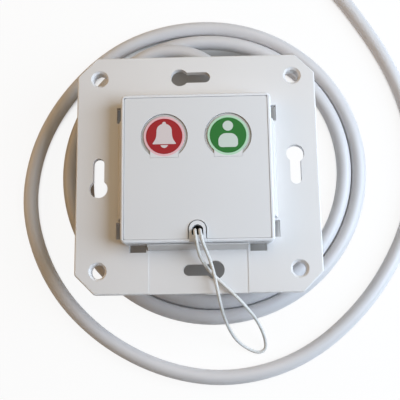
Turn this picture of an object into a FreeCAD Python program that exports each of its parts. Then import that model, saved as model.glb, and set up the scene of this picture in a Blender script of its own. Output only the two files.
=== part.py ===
import FreeCAD, Part
import math
import os
import Sketcher

# Nurse call module: a 45 mm square call unit snapped into a 74 mm square mounting frame.
# It lies on the back of its housing: +Z out of the front, +Y towards the top of the front,
# origin under the middle of the housing's back. Lengths are millimetres.

DRIVING_SIZES = {
    # Mounting frame
    "frame_side": (74.0, "side of the square frame"),
    "frame_thick": (2.2, "thickness of the frame's plate"),
    "frame_back": (22.0, "height of the plate's back over the housing's back"),
    "corner_cut": (6.0, "leg of each cut corner"),
    "corner_round": (1.2, "rounding where a cut corner meets a side"),
    "frame_edge_round": (0.5, "rounding of the plate's front edge"),
    "fixing_inset": (7.0, "distance of the fixing holes from the frame's sides"),
    "corner_hole": (4.3, "diameter of a corner hole"),
    "countersink": (0.6, "bevel round a corner hole"),
    "corner_boss": (7.4, "diameter of the boss behind a corner hole"),
    "boss_depth": (1.6, "depth of that boss"),
    "key_head": (5.5, "diameter of a keyhole's head"),
    "key_slot": (3.4, "width of a keyhole's slot"),
    "key_head_off": (5.0, "keyhole head's distance from the middle line"),
    "key_slot_off": (2.8, "keyhole slot end's distance from the middle line"),
    "cage_wall": (1.3, "wall of the cage behind the opening"),
    "cage_depth": (3.0, "depth of that cage"),
    "ramp_width": (29.6, "width of the ramp beside each side of the unit"),
    "ramp_rise": (4.6, "height of a ramp"),
    "ramp_foot": (1.5, "how far a ramp's foot stands out from its top"),
    "ramp_crest": (0.35, "thickness of a ramp at its top"),
    "strip_sink": (0.15, "depth of the sunk strip below the unit"),
    "clip_window": (5.0, "length of a clip window"),
    "clip_inset": (2.2, "clip window's middle from the opening's corner"),
    "clip_reach": (2.1, "how far a clip window reaches out past the unit"),
    "hook_width": (2.2, "width of a snap hook"),
    "hook_thick": (0.9, "thickness of a snap hook"),
    "hook_rise": (2.0, "height of a hook over the plate's front"),
    "barb_reach": (0.75, "how far a hook's barb stands in"),
    "barb_rise": (0.9, "height of a barb"),
    # Housings
    "body_round": (1.5, "corner rounding of that housing"),
    "body_gap": (0.4, "clearance between housing and frame opening"),
    "skirt_wall": (1.2, "wall of the front housing's skirt"),
    "split_height": (13.0, "height of the joint between the housings"),
    "rear_wall": (2.0, "wall of the rear housing"),
    "rear_floor": (1.6, "floor of the rear housing"),
    "rear_round": (0.8, "rounding of the rear housing's back edges"),
    "lip_thick": (1.0, "thickness of the rear housing's lip"),
    "lip_rise": (2.8, "height of the lip over the joint"),
    "lip_root": (1.2, "depth of the lip's root under the joint"),
    "lip_gap": (0.1, "clearance between lip and skirt"),
    "tab_width": (5.6, "width of a snap tab on the lip"),
    "tab_reach": (0.6, "how far a tab stands out"),
    "tab_rise": (1.0, "height of a tab"),
    "tab_start": (1.3, "height of a tab over the joint"),
    "snap_gap": (0.1, "clearance round a tab or barb in its window"),
    # Front of the unit
    "hook_room": (0.2, "clearance between the hooks and the front's cap"),
    "unit_proud": (6.3, "height of the front over the plate"),
    "unit_round": (1.6, "corner rounding of the front"),
    "unit_edge_round": (0.6, "rounding of the front's outer edge"),
    "rim_wall": (1.2, "wall of the front's cap"),
    "rim_face": (1.0, "visible width of the rim round the front plate"),
    "plate_thick": (1.2, "thickness of the front plate"),
    "plate_sink": (0.15, "depth of the front plate under the rim"),
    "plate_gap": (0.1, "clearance round the front plate"),
    "plate_round": (0.6, "corner rounding of the front plate"),
    "ledge": (1.2, "width of the ledge that carries the front plate"),
    "key_room": (1.35, "free height behind the front plate"),
    "deck_thick": (1.2, "thickness of the deck behind the keys"),
    # Keys
    "key_inset": (13.0, "key's middle from the unit's nearer side"),
    "key_drop": (13.1, "key's middle below the unit's upper side"),
    "key_radius": (6.1, "radius of a key's white rim"),
    "groove_radius": (7.0, "outer radius of the C-shaped groove"),
    "groove_depth": (0.5, "depth of that groove, down to the key's flange"),
    "flange_gap": (0.1, "clearance round the key's flange"),
    "neck_width": (8.4, "width of a key's hinge neck"),
    "neck_reach": (6.5, "distance of the film hinge from the key's middle"),
    "seam": (0.06, "clearance of a key's neck"),
    "disc_radius": (5.4, "radius of a coloured disc"),
    "disc_thick": (0.35, "thickness of a coloured disc"),
    "disc_proud": (0.05, "how far a disc stands over its key"),
    "disc_gap": (0.05, "clearance round a disc"),
    "post_radius": (1.5, "radius of a key's pressing post"),
    "post_tip": (0.6, "radius of the post's tip"),
    "post_gap": (0.06, "gap between post and switch plunger"),
    "post_hole": (2.3, "radius of the deck's hole round a post"),
    # Circuit board and what stands on it
    "board_side": (36.4, "side of the circuit board"),
    "board_gap": (0.4, "clearance between the board and the skirt round it"),
    "board_thick": (1.6, "thickness of the circuit board"),
    "board_top": (20.0, "height of the board's front"),
    "screw_inset": (2.5, "screw's distance from both of the board's nearer sides"),
    "screw_radius": (0.98, "radius of a screw's shank"),
    "screw_fit": (0.02, "clearance of the shank in its boss"),
    "screw_head": (1.9, "radius of a screw's head"),
    "head_thick": (1.3, "thickness of a screw's head"),
    "screw_grip": (3.6, "depth of a screw in its boss"),
    "screw_drive": (0.5, "depth of a screw's cross slot"),
    "boss_radius": (2.3, "radius of a screw boss"),
    "board_hole": (1.15, "radius of a screw hole in the board"),
    "switch_side": (6.0, "side of a key switch"),
    "switch_rise": (3.5, "height of a key switch"),
    "plunger_radius": (1.7, "radius of a switch's plunger"),
    "plunger_top": (5.0, "height of a plunger over the board"),
    "plunger_deep": (1.8, "depth of a plunger in its switch"),
    "plunger_fit": (0.05, "clearance round a plunger"),
    "plunger_stroke": (0.5, "room under a plunger"),
    "lamp_long": (3.2, "length of an indicator lamp"),
    "lamp_wide": (1.6, "width of an indicator lamp"),
    "lamp_rise": (1.4, "height of an indicator lamp"),
    "lamp_up": (6.6, "lamp's distance above its key's middle"),
    "lamp_window": (1.5, "radius of the deck's window over a lamp"),
    "chip_side": (7.0, "side of the control chip"),
    "chip_thick": (1.1, "thickness of the control chip"),
    "chip_left": (9.0, "control chip's distance left of the middle"),
    "chip_down": (7.5, "control chip's distance below the middle"),
    # Cord pull
    "cord_thick": (1.0, "diameter of the pull cord"),
    "cord_apart": (1.4, "distance between the cord's two strands at the pull"),
    "cord_up": (3.75, "cord exit's distance above the unit's lower side"),
    "arch_radius": (2.45, "outer radius of the arch round the cord exit"),
    "arch_middle": (3.9, "arch middle's distance above the unit's lower side"),
    "arch_gap": (0.3, "clearance between arch and front plate"),
    "arch_proud": (0.3, "how far the arch stands over the rim"),
    "exit_radius": (1.7, "half width of the cord exit"),
    "exit_top": (5.2, "cord exit's top edge above the unit's lower side"),
    "exit_foot": (2.15, "cord exit's bottom edge above the unit's lower side"),
    "pull_width": (4.4, "width of the pull's arm"),
    "head_gap": (0.2, "clearance round the pull's head in the exit"),
    "pull_front": (2.6, "pull head's far face above the unit's lower side"),
    "pull_inner": (4.9, "pull head's near face above the unit's lower side"),
    "pull_web": (1.2, "thickness of the pull's web"),
    "pull_tail": (14.7, "end of the pull's arm above the unit's lower side"),
    "arm_low": (0.8, "height of the arm over the board"),
    "arm_thick": (1.2, "thickness of the arm"),
    "bridge_low": (3.4, "height of the pull's bridge over the board"),
    "bridge_thick": (1.5, "thickness of the bridge"),
    "head_rise": (2.1, "height of the head over the bridge"),
    "pull_gap": (0.3, "clearance beside the pull"),
    "pull_rest": (0.05, "clearance under the pull at rest"),
    "socket_depth": (1.0, "depth of the cord's sockets in the head"),
    "socket_gap": (0.05, "clearance round the cord in a socket"),
    "guide_thick": (1.2, "thickness of a guide rib"),
    "guide_foot": (6.3, "guide rib's far end above the unit's lower side"),
    "guide_tail": (13.7, "guide rib's near end above the unit's lower side"),
    "spring_up": (10.0, "return spring's distance above the unit's lower side"),
    "spring_radius": (1.55, "mean radius of the return spring"),
    "spring_wire": (0.36, "wire diameter of the return spring"),
    "spring_turns": (4.5, "number of turns of the return spring"),
    "spring_pin": (0.9, "radius of the pins inside the spring"),
    "spring_pin_rise": (1.0, "height of those pins"),
    "spring_seat": (0.02, "clearance at the spring's ends"),
    "magnet_radius": (1.5, "radius of the pull's magnet"),
    "magnet_thick": (1.0, "thickness of the magnet"),
    "magnet_up": (12.6, "magnet's distance above the unit's lower side"),
    "magnet_gap": (0.05, "clearance round the magnet"),
    "reed_up": (17.5, "reed switch's distance above the unit's lower side"),
    "reed_radius": (1.0, "radius of the reed switch's glass"),
    "reed_long": (9.0, "length of the reed switch's glass"),
    "reed_lead": (1.8, "reach of a reed lead past the glass"),
    "lead_thick": (0.5, "thickness of a reed lead"),
    # Cable, gland and terminals
    "cable_thick": (4.8, "diameter of the call cable"),
    "gland_inset": (6.8, "gland's distance from the housing's right side"),
    "gland_height": (7.4, "height of the gland's middle"),
    "gland_neck": (3.2, "radius of the gland's neck in the wall"),
    "gland_flange": (4.2, "radius of the gland's flanges"),
    "gland_inner": (1.6, "thickness of the inner flange"),
    "gland_outer": (1.0, "thickness of the outer flange"),
    "gland_nose": (2.2, "length of the gland's tapered nose"),
    "nose_radius": (2.95, "radius of the nose's end"),
    "gland_fit": (0.1, "clearance round neck and cable"),
    "cable_end": (0.2, "how far the cable reaches in past the gland"),
    "terminal_pitch": (3.5, "pitch of the terminal block"),
    "terminal_ways": (4.0, "number of terminals"),
    "terminal_deep": (7.0, "depth of the terminal block"),
    "terminal_rise": (8.4, "height of the terminal block"),
    "terminal_right": (4.0, "terminal block's middle right of the middle"),
    "terminal_up": (4.0, "terminal block's middle above the middle"),
    "entry_radius": (1.0, "radius of a terminal's wire entry"),
    "entry_deep": (3.0, "depth of a wire entry"),
    "entry_height": (5.9, "wire entry's distance from the board"),
    "driver_radius": (1.1, "radius of a terminal's clamp screw hole"),
    "driver_deep": (2.0, "depth of a clamp screw hole"),
    "core_thick": (1.3, "diameter of a core"),
    "core_off": (0.95, "core's distance from the cable's middle lines"),
    "core_lead": (2.6, "straight length at both ends of a core"),
    # Coil of put-away cable and its plug
    "coil_right": (-6.0, "put-away coil's middle right of the middle"),
    "coil_up": (108.3, "put-away coil's middle above the middle"),
    "coil_radius": (28.1, "mean radius of that coil"),
    "coil_turns": (4.1875, "number of its turns, in two layers"),
    "coil_entry": (22.5, "angle round the coil at which the cable meets it, in degrees"),
    "turn_pitch": (5.0, "distance between turns that lie side by side"),
    "stub_long": (24.0, "straight length where the cable joins the coil"),
    "plug_width": (11.7, "width of the plug"),
    "plug_rise": (8.0, "height of the plug"),
    "plug_long": (21.5, "length of the plug"),
    "plug_ways": (8.0, "number of the plug's contacts"),
    "contact_pitch": (1.02, "pitch of the contacts"),
    "contact_thick": (0.35, "thickness of a contact"),
    "contact_long": (6.0, "length of a contact"),
    "contact_deep": (1.6, "depth of a contact's slot"),
    "contact_gap": (0.05, "clearance beside a contact"),
    "latch_width": (6.0, "width of the plug's latch"),
    "latch_thick": (1.0, "thickness of the latch"),
    "latch_long": (14.0, "length of the latch"),
    "latch_lift": (1.6, "height of the latch's free end over the plug"),
}

doc = FreeCAD.newDocument("NurseCallModule")
sheet = doc.addObject("Spreadsheet::Sheet", "Sizes")
for row, (alias, (number, meaning)) in enumerate(DRIVING_SIZES.items(), start=1):
    sheet.set(f"A{row}", alias)
    sheet.set(f"B{row}", str(number))
    sheet.set(f"C{row}", meaning)
    sheet.setAlias(f"B{row}", alias)
doc.recompute()


def size(alias):
    """Expression of a named size."""
    return f"Sizes.{alias}"


def below(alias):
    """Expression of a distance below the middle, given from the unit's lower side."""
    return f"({UNIT_HALF} - Sizes.{alias})"


def value(expression):
    """Number that an expression of the sheet gives now."""
    return float(sheet.evalExpression(expression))


# Heights and places that follow from the driving sizes, as expressions
FRAME_TOP = "(Sizes.frame_back + Sizes.frame_thick)"
UNIT_FACE = f"({FRAME_TOP} + Sizes.unit_proud)"
PLATE_FACE = f"({UNIT_FACE} - Sizes.plate_sink)"
PLATE_BACK = f"({PLATE_FACE} - Sizes.plate_thick)"
DECK_TOP = f"({PLATE_BACK} - Sizes.key_room)"
DECK_BACK = f"({DECK_TOP} - Sizes.deck_thick)"
BOARD_BACK = "(Sizes.board_top - Sizes.board_thick)"
BOARD_HALF = "(Sizes.board_side / 2)"
SCREW_OFF = f"({BOARD_HALF} - Sizes.screw_inset)"
SKIRT_IN = f"({BOARD_HALF} + Sizes.board_gap)"
BODY_HALF = f"({SKIRT_IN} + Sizes.skirt_wall)"
OPENING_HALF = f"({BODY_HALF} + Sizes.body_gap)"
HOOK_OUT = f"({OPENING_HALF} + Sizes.hook_thick)"
UNIT_HALF = f"({HOOK_OUT} + Sizes.hook_room + Sizes.rim_wall)"
HOOK_TOP = f"({FRAME_TOP} + Sizes.hook_rise)"
CLIP_MIDDLE = f"({OPENING_HALF} - Sizes.clip_inset)"
HOOK_START = f"({CLIP_MIDDLE} - Sizes.clip_window / 2 + Sizes.snap_gap)"
HOOK_END = f"({HOOK_START} + Sizes.hook_width)"
LIP_OUT = f"({SKIRT_IN} - Sizes.lip_gap)"
TAB_LOW = "(Sizes.split_height + Sizes.tab_start)"
PLUNGER_TOP = "(Sizes.board_top + Sizes.plunger_top)"
POST_LOW = f"({PLUNGER_TOP} + Sizes.post_gap)"
ARM_LOW = "(Sizes.board_top + Sizes.arm_low)"
ARM_TOP = f"({ARM_LOW} + Sizes.arm_thick)"
BRIDGE_LOW = "(Sizes.board_top + Sizes.bridge_low)"
BRIDGE_TOP = f"({BRIDGE_LOW} + Sizes.bridge_thick)"
HEAD_TOP = f"({BRIDGE_TOP} + Sizes.head_rise)"
FIXING_HALF = "(Sizes.frame_side / 2 - Sizes.fixing_inset)"
GLAND_RIGHT = f"({BODY_HALF} - Sizes.gland_inset)"
GLAND_IN = f"({BODY_HALF} - Sizes.rear_wall - Sizes.gland_inner)"
PLUG_AXIS = "(Sizes.plug_rise / 2)"


def new_body(name):
    """Empty body whose label names its file."""
    body = doc.addObject("PartDesign::Body", name)
    body.Label = name
    return body


def origin_part(body, role):
    """Plane or axis of a body's own origin."""
    return next(part for part in body.Origin.OriginFeatures if part.Role == role)


def new_sketch(body, name, offset="0", plane="XY_Plane"):
    """Sketch on one of the body's planes, moved off it by an expression."""
    sketch = body.newObject("Sketcher::SketchObject", name)
    sketch.AttachmentSupport = [(origin_part(body, plane), "")]
    sketch.MapMode = "FlatFace"
    if offset != "0":
        sketch.setExpression("AttachmentOffset.Base.z", offset)
    return sketch


def bind(sketch, kind, *places, expression):
    """Dimension of a sketch, bound to an expression."""
    index = sketch.addConstraint(Sketcher.Constraint(kind, *places, value(expression)))
    sketch.setExpression(f"Constraints[{index}]", expression)


def pin_one(sketch, geometry, point, kind, expression):
    """Fixes one coordinate of a sketch point at an expression; "0" puts it on the axis."""
    if expression == "0":
        axis = -2 if kind == "DistanceX" else -1
        sketch.addConstraint(Sketcher.Constraint("PointOnObject", geometry, point, axis))
    else:
        bind(sketch, kind, -1, 1, geometry, point, expression=expression)


def pin(sketch, geometry, point, x, y):
    """Fixes a sketch point at two expressions."""
    pin_one(sketch, geometry, point, "DistanceX", x)
    pin_one(sketch, geometry, point, "DistanceY", y)


def circle(sketch, x, y, radius):
    """Circle with its middle and radius given by expressions."""
    middle = FreeCAD.Vector(value(x), value(y), 0)
    shape = Part.Circle(middle, FreeCAD.Vector(0, 0, 1), value(radius))
    index = sketch.addGeometry(shape, False)
    pin(sketch, index, 3, x, y)
    bind(sketch, "Radius", index, expression=radius)


def side_of_outline(start, end, bend):
    """Line, or arc that turns left about a middle, from one corner of an outline to the next."""
    if bend is None:
        return Part.LineSegment(start, end)
    middle = FreeCAD.Vector(value(bend[1]), value(bend[2]), 0)
    whole = Part.Circle(middle, FreeCAD.Vector(0, 0, 1), value(bend[0]))
    first, last = [math.atan2(spot.y - middle.y, spot.x - middle.x) for spot in (start, end)]
    return Part.ArcOfCircle(whole, first, last if last > first else last + 2 * math.pi)


def outline(sketch, corners):
    """Closed outline through corners (x, y) or (x, y, bend), where bend makes the side that ends
    there an arc and holds its radius and the middle's x and y."""
    spots = [FreeCAD.Vector(value(corner[0]), value(corner[1]), 0) for corner in corners]
    bends = [corner[2] if len(corner) > 2 else None for corner in corners]
    sides = [sketch.addGeometry(side_of_outline(spots[number - 1], spot, bends[number]), False)
             for number, spot in enumerate(spots)]
    for number, side in enumerate(sides):
        sketch.addConstraint(Sketcher.Constraint("Coincident", sides[number - 1], 2, side, 1))
        pin(sketch, side, 2, corners[number][0], corners[number][1])
    for number, bend in enumerate(bends):
        if bend:
            chord = spots[number] - spots[number - 1]
            across = abs(chord.y) > abs(chord.x)
            direction = "DistanceX" if across else "DistanceY"
            pin_one(sketch, sides[number], 3, direction, bend[1 if across else 2])


def box_outline(sketch, left, right, low, high):
    """Rectangle between four expressions."""
    outline(sketch, [(right, low), (right, high), (left, high), (left, low)])


def square(sketch, half):
    """Square about the middle with half its side given."""
    box_outline(sketch, f"-{half}", half, f"-{half}", half)


def pad(body, sketch, name, length, midplane=False):
    """Adds material along the sketch's normal."""
    feature = body.newObject("PartDesign::Pad", name)
    feature.Profile = sketch
    feature.setExpression("Length", length)
    feature.Midplane = midplane
    sketch.Visibility = False
    doc.recompute()
    return feature


def pocket(body, sketch, name, length, upwards=False, midplane=False):
    """Cuts along the sketch's normal, and checks that it cut something."""
    before = body.Tip.Shape.Volume
    feature = body.newObject("PartDesign::Pocket", name)
    feature.Profile = sketch
    feature.setExpression("Length", length)
    feature.Reversed = upwards
    feature.Midplane = midplane
    sketch.Visibility = False
    doc.recompute()
    if feature.Shape.Volume >= before - 1e-6:
        raise ValueError(f"{name} cuts nothing")
    return feature


def turned_four_times(body, name, features):
    """Repeats features at the four sides, about the Z axis."""
    pattern = body.newObject("PartDesign::PolarPattern", name)
    pattern.Originals = features
    pattern.Axis = (origin_part(body, "Z_Axis"), [""])
    pattern.Angle = 360
    pattern.Occurrences = 4
    body.Tip = pattern
    doc.recompute()
    return pattern


def mirrored(body, name, features, plane):
    """Repeats features across one of the body's planes."""
    pattern = body.newObject("PartDesign::Mirrored", name)
    pattern.Originals = features
    pattern.MirrorPlane = (origin_part(body, plane), [""])
    body.Tip = pattern
    doc.recompute()
    return pattern


def edges_where(shape, wanted):
    """Names of the edges whose middle and direction pass a test."""
    names = []
    for number, edge in enumerate(shape.Edges, start=1):
        if edge.Curve.TypeId in ("Part::GeomLine", "Part::GeomCircle"):
            first, last = (edge.Vertexes[0].Point, edge.Vertexes[-1].Point)
            if wanted(edge, first, last):
                names.append(f"Edge{number}")
    return names


def upright(edge, first, last):
    """Whether an edge runs along Z."""
    return abs(first.z - last.z) > 1e-4 and (first - last).cross(FreeCAD.Vector(0, 0, 1)).Length < 1e-6


def level_at(height):
    """Test for an edge that lies at one height."""
    level = value(height)
    return lambda edge, first, last: max(abs(edge.BoundBox.ZMin - level),
                                         abs(edge.BoundBox.ZMax - level)) < 1e-5


def rounded(body, name, radius, wanted, kind="Fillet"):
    """Fillet or chamfer along the edges of the tip that pass a test."""
    base = body.Tip
    feature = body.newObject(f"PartDesign::{kind}", name)
    feature.Base = (base, edges_where(base.Shape, wanted))
    feature.setExpression("Radius" if kind == "Fillet" else "Size", radius)
    doc.recompute()
    return feature


def place(thing, x="0", y="0", z="0"):
    """Binds a thing's place to expressions."""
    for axis, expression in (("x", x), ("y", y), ("z", z)):
        if expression != "0":
            thing.setExpression(f"Placement.Base.{axis}", expression)


def block(name, length, width, height, x, y, z):
    """Box about x and y, standing on z."""
    thing = doc.addObject("Part::Box", name)
    thing.Label = name
    thing.setExpression("Length", length)
    thing.setExpression("Width", width)
    thing.setExpression("Height", height)
    place(thing, f"{x} - {length} / 2", f"{y} - {width} / 2", z)
    return thing


def cylinder(name, radius, height, x, y, z):
    """Upright cylinder standing on z."""
    thing = doc.addObject("Part::Cylinder", name)
    thing.Label = name
    thing.setExpression("Radius", radius)
    thing.setExpression("Height", height)
    place(thing, x, y, z)
    return thing


def cut(name, base, tools):
    """Base without the tools."""
    for number, tool in enumerate(tools):
        thing = doc.addObject("Part::Cut", f"{name}_cut{number}")
        thing.Base, thing.Tool = base, tool
        base = thing
    base.Label = name
    return base


def joined(name, things):
    """Pieces of one moulding made one solid, or like pieces kept as a group."""
    thing = doc.addObject("Part::MultiFuse", f"{name}_joined")
    thing.Shapes = things
    thing.Label = name
    return thing


def mounting_frame():
    """Moulded frame: plate with cut corners, opening with its cage, and at each side a keyhole, a
    corner hole, a ramp, two clip windows and two snap hooks."""
    body = new_body("mounting_frame")
    half, cut_at = "(Sizes.frame_side / 2)", "(Sizes.frame_side / 2 - Sizes.corner_cut)"
    plate = new_sketch(body, "frame_plate_outline", size("frame_back"))
    outline(plate, [(half, f"-{cut_at}"), (half, cut_at), (cut_at, half), (f"-{cut_at}", half),
                    (f"-{half}", cut_at), (f"-{half}", f"-{cut_at}"), (f"-{cut_at}", f"-{half}"),
                    (cut_at, f"-{half}")])
    pad(body, plate, "frame_plate", size("frame_thick"))
    rounded(body, "frame_corner_rounds", size("corner_round"), upright)
    rounded(body, "frame_front_edge", size("frame_edge_round"), level_at(FRAME_TOP))
    cage_out = f"({OPENING_HALF} + Sizes.cage_wall)"
    cage = new_sketch(body, "cage_outline", "Sizes.frame_back - Sizes.cage_depth")
    square(cage, cage_out)
    pad(body, cage, "cage", size("cage_depth"))
    opening = new_sketch(body, "opening_outline", FRAME_TOP)
    square(opening, OPENING_HALF)
    pocket(body, opening, "opening", "Sizes.frame_thick + Sizes.cage_depth")
    strip = new_sketch(body, "strip_outline", FRAME_TOP)
    strip_top = f"({UNIT_HALF} + Sizes.snap_gap + Sizes.ramp_foot)"
    box_outline(strip, "-Sizes.ramp_width / 2", "Sizes.ramp_width / 2", f"-{half}", f"-{strip_top}")
    pocket(body, strip, "strip", size("strip_sink"))
    once = [corner_boss(body), keyhole(body), corner_hole(body), ramp(body)]
    for side in ("left", "right"):
        once += [clip_window(body, side), snap_hook(body, side), snap_barb(body, side)]
    turned_four_times(body, "four_sides", once)
    rims = level_at(FRAME_TOP)
    rounded(body, "countersinks", size("countersink"), kind="Chamfer",
            wanted=lambda edge, first, last: rims(edge, first, last) and is_round(edge, "corner_hole"))
    return body


def is_round(edge, diameter):
    """Whether an edge is a whole circle of a named diameter."""
    return edge.isClosed() and abs(edge.BoundBox.XLength - value(size(diameter))) < 1e-3


def corner_boss(body):
    """Round boss behind a corner hole."""
    sketch = new_sketch(body, "corner_boss_outline", "Sizes.frame_back - Sizes.boss_depth")
    circle(sketch, FIXING_HALF, FIXING_HALF, "Sizes.corner_boss / 2")
    return pad(body, sketch, "corner_boss", size("boss_depth"))


def corner_hole(body):
    """Corner hole through plate and boss."""
    sketch = new_sketch(body, "corner_hole_outline", FRAME_TOP)
    circle(sketch, FIXING_HALF, FIXING_HALF, "Sizes.corner_hole / 2")
    return pocket(body, sketch, "corner_hole", "Sizes.frame_thick + Sizes.boss_depth")


def keyhole(body):
    """Keyhole with its head to the left and a rounded slot to the right."""
    sketch = new_sketch(body, "keyhole_outline", FRAME_TOP)
    up, wide, head = FIXING_HALF, "Sizes.key_slot / 2", "Sizes.key_head / 2"
    neck = f"(-Sizes.key_head_off + sqrt(({head}) ^ 2 - ({wide}) ^ 2))"
    slot_end = (wide, size("key_slot_off"), up)
    around = (head, "-Sizes.key_head_off", up)
    outline(sketch, [(neck, f"{up} - {wide}", around), (size("key_slot_off"), f"{up} - {wide}"),
                     (size("key_slot_off"), f"{up} + {wide}", slot_end), (neck, f"{up} + {wide}")])
    return pocket(body, sketch, "keyhole", size("frame_thick"))


def ramp(body):
    """Sloped rib that stands beside a side of the unit."""
    sketch = new_sketch(body, "ramp_outline", plane="YZ_Plane")
    near = f"({UNIT_HALF} + Sizes.snap_gap)"
    foot, crest = f"({near} + Sizes.ramp_foot)", f"({near} + Sizes.ramp_crest)"
    top = f"({FRAME_TOP} + Sizes.ramp_rise)"
    root = f"({FRAME_TOP} - Sizes.strip_sink)"
    outline(sketch, [(near, root), (foot, root), (crest, top), (near, top)])
    return pad(body, sketch, "ramp", size("ramp_width"), midplane=True)


def clip_ends(side):
    """Ends of a clip window along its side of the frame."""
    start = f"({CLIP_MIDDLE} - Sizes.clip_window / 2)"
    end = f"({CLIP_MIDDLE} + Sizes.clip_window / 2)"
    return (start, end) if side == "right" else (f"-{end}", f"-{start}")


def hook_ends(side):
    """Ends of a snap hook along its side of the frame."""
    return (HOOK_START, HOOK_END) if side == "right" else (f"-{HOOK_END}", f"-{HOOK_START}")


def clip_window(body, side):
    """Window behind a snap hook, open beside the unit."""
    sketch = new_sketch(body, f"clip_window_outline_{side}", FRAME_TOP)
    box_outline(sketch, *clip_ends(side), HOOK_OUT, f"({UNIT_HALF} + Sizes.clip_reach)")
    return pocket(body, sketch, f"clip_window_{side}", "Sizes.frame_thick + Sizes.cage_depth")


def snap_hook(body, side):
    """Springy finger at the edge of the opening."""
    sketch = new_sketch(body, f"hook_outline_{side}", size("frame_back"))
    box_outline(sketch, *hook_ends(side), OPENING_HALF, HOOK_OUT)
    return pad(body, sketch, f"hook_{side}", "Sizes.frame_thick + Sizes.hook_rise")


def snap_barb(body, side):
    """Barb at a hook's top, which holds the skirt of the front housing."""
    low = f"{HOOK_TOP} - Sizes.barb_rise"
    sketch = new_sketch(body, f"barb_outline_{side}", low)
    inner = f"({OPENING_HALF} - Sizes.barb_reach)"
    box_outline(sketch, *hook_ends(side), inner, OPENING_HALF)
    return pad(body, sketch, f"barb_{side}", size("barb_rise"))


def front_housing():
    """Moulded front: cap with a rim round the front plate, deck behind the keys, and the skirt
    that passes through the frame."""
    body = new_body("front_housing")
    cap = new_sketch(body, "cap_outline", FRAME_TOP)
    square(cap, UNIT_HALF)
    pad(body, cap, "cap", size("unit_proud"))
    rounded(body, "cap_corners", size("unit_round"), upright)
    rounded(body, "cap_front_edge", size("unit_edge_round"), level_at(UNIT_FACE))
    seat_half = f"({UNIT_HALF} - Sizes.rim_face)"
    seat = new_sketch(body, "seat_outline", UNIT_FACE)
    square(seat, seat_half)
    pocket(body, seat, "plate_seat", "Sizes.plate_sink + Sizes.plate_thick")
    room = new_sketch(body, "room_outline", PLATE_BACK)
    square(room, f"({seat_half} - Sizes.ledge)")
    pocket(body, room, "key_room", size("key_room"))
    hollow = new_sketch(body, "hollow_outline", FRAME_TOP)
    square(hollow, f"({UNIT_HALF} - Sizes.rim_wall)")
    pocket(body, hollow, "cap_hollow", f"{DECK_BACK} - {FRAME_TOP}", upwards=True)
    skirt = new_sketch(body, "skirt_outline", size("split_height"))
    square(skirt, BODY_HALF)
    square(skirt, SKIRT_IN)
    pad(body, skirt, "skirt", f"{DECK_BACK} - Sizes.split_height")
    low = value(size("split_height"))
    rounded(body, "skirt_corners", size("body_round"),
            lambda edge, first, last: upright(edge, first, last) and abs(edge.BoundBox.ZMin - low) < 1e-4
            and abs(first.x) > value(BODY_HALF) - 0.01)
    turned_four_times(body, "skirt_windows", [skirt_window(body, "left"), skirt_window(body, "right"),
                                              tab_window(body)])
    for side in ("left", "right"):
        key_openings(body, side)
    screw_bosses(body)
    cord_arch(body)
    pull_guides(body)
    return body


def skirt_window(body, side):
    """Window in the skirt that takes a hook's barb."""
    sketch = new_sketch(body, f"skirt_window_outline_{side}", f"{HOOK_TOP} + Sizes.snap_gap")
    start, end = hook_ends(side)
    box_outline(sketch, f"{start} - Sizes.snap_gap", f"{end} + Sizes.snap_gap",
                f"{SKIRT_IN} - Sizes.snap_gap", f"{BODY_HALF} + Sizes.snap_gap")
    return pocket(body, sketch, f"skirt_window_{side}", "Sizes.barb_rise + 2 * Sizes.snap_gap")


def tab_window(body):
    """Window in the skirt that takes a tab of the rear housing."""
    sketch = new_sketch(body, "tab_window_outline", f"{TAB_LOW} + Sizes.tab_rise + Sizes.snap_gap")
    half = "(Sizes.tab_width / 2 + Sizes.snap_gap)"
    box_outline(sketch, f"-{half}", half,
                f"{SKIRT_IN} - Sizes.snap_gap", f"{BODY_HALF} + Sizes.snap_gap")
    return pocket(body, sketch, "tab_window", "Sizes.tab_rise + 2 * Sizes.snap_gap")


def key_middle(side):
    """Place of a key's middle."""
    across = f"({UNIT_HALF} - Sizes.key_inset)"
    return f"-{across}" if side == "left" else across, f"({UNIT_HALF} - Sizes.key_drop)"


def key_openings(body, side):
    """Hole round a key's post and window over its lamp, in the deck."""
    x, y = key_middle(side)
    sketch = new_sketch(body, f"post_hole_outline_{side}", DECK_TOP)
    circle(sketch, x, y, size("post_hole"))
    pocket(body, sketch, f"post_hole_{side}", size("deck_thick"))
    sketch = new_sketch(body, f"lamp_window_outline_{side}", DECK_TOP)
    circle(sketch, x, f"{y} + Sizes.lamp_up", size("lamp_window"))
    pocket(body, sketch, f"lamp_window_{side}", size("deck_thick"))


def screw_bosses(body):
    """Four bosses that carry the circuit board."""
    sketch = new_sketch(body, "screw_boss_outline", size("board_top"))
    circle(sketch, SCREW_OFF, SCREW_OFF, size("boss_radius"))
    boss = pad(body, sketch, "screw_boss", f"{DECK_BACK} - Sizes.board_top")
    sketch = new_sketch(body, "screw_pilot_outline", size("board_top"))
    circle(sketch, SCREW_OFF, SCREW_OFF, "Sizes.screw_radius + Sizes.screw_fit")
    pilot = pocket(body, sketch, "screw_pilot", "Sizes.screw_grip + Sizes.pull_gap", upwards=True)
    turned_four_times(body, "four_bosses", [boss, pilot])


def arch_corners(radius, middle, foot):
    """Outline of an arch: straight legs and a round top."""
    turn = (radius, "0", f"-{middle}")
    return [(f"-{radius}", f"-{foot}"), (radius, f"-{foot}"), (radius, f"-{middle}"),
            (f"-{radius}", f"-{middle}", turn)]


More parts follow.
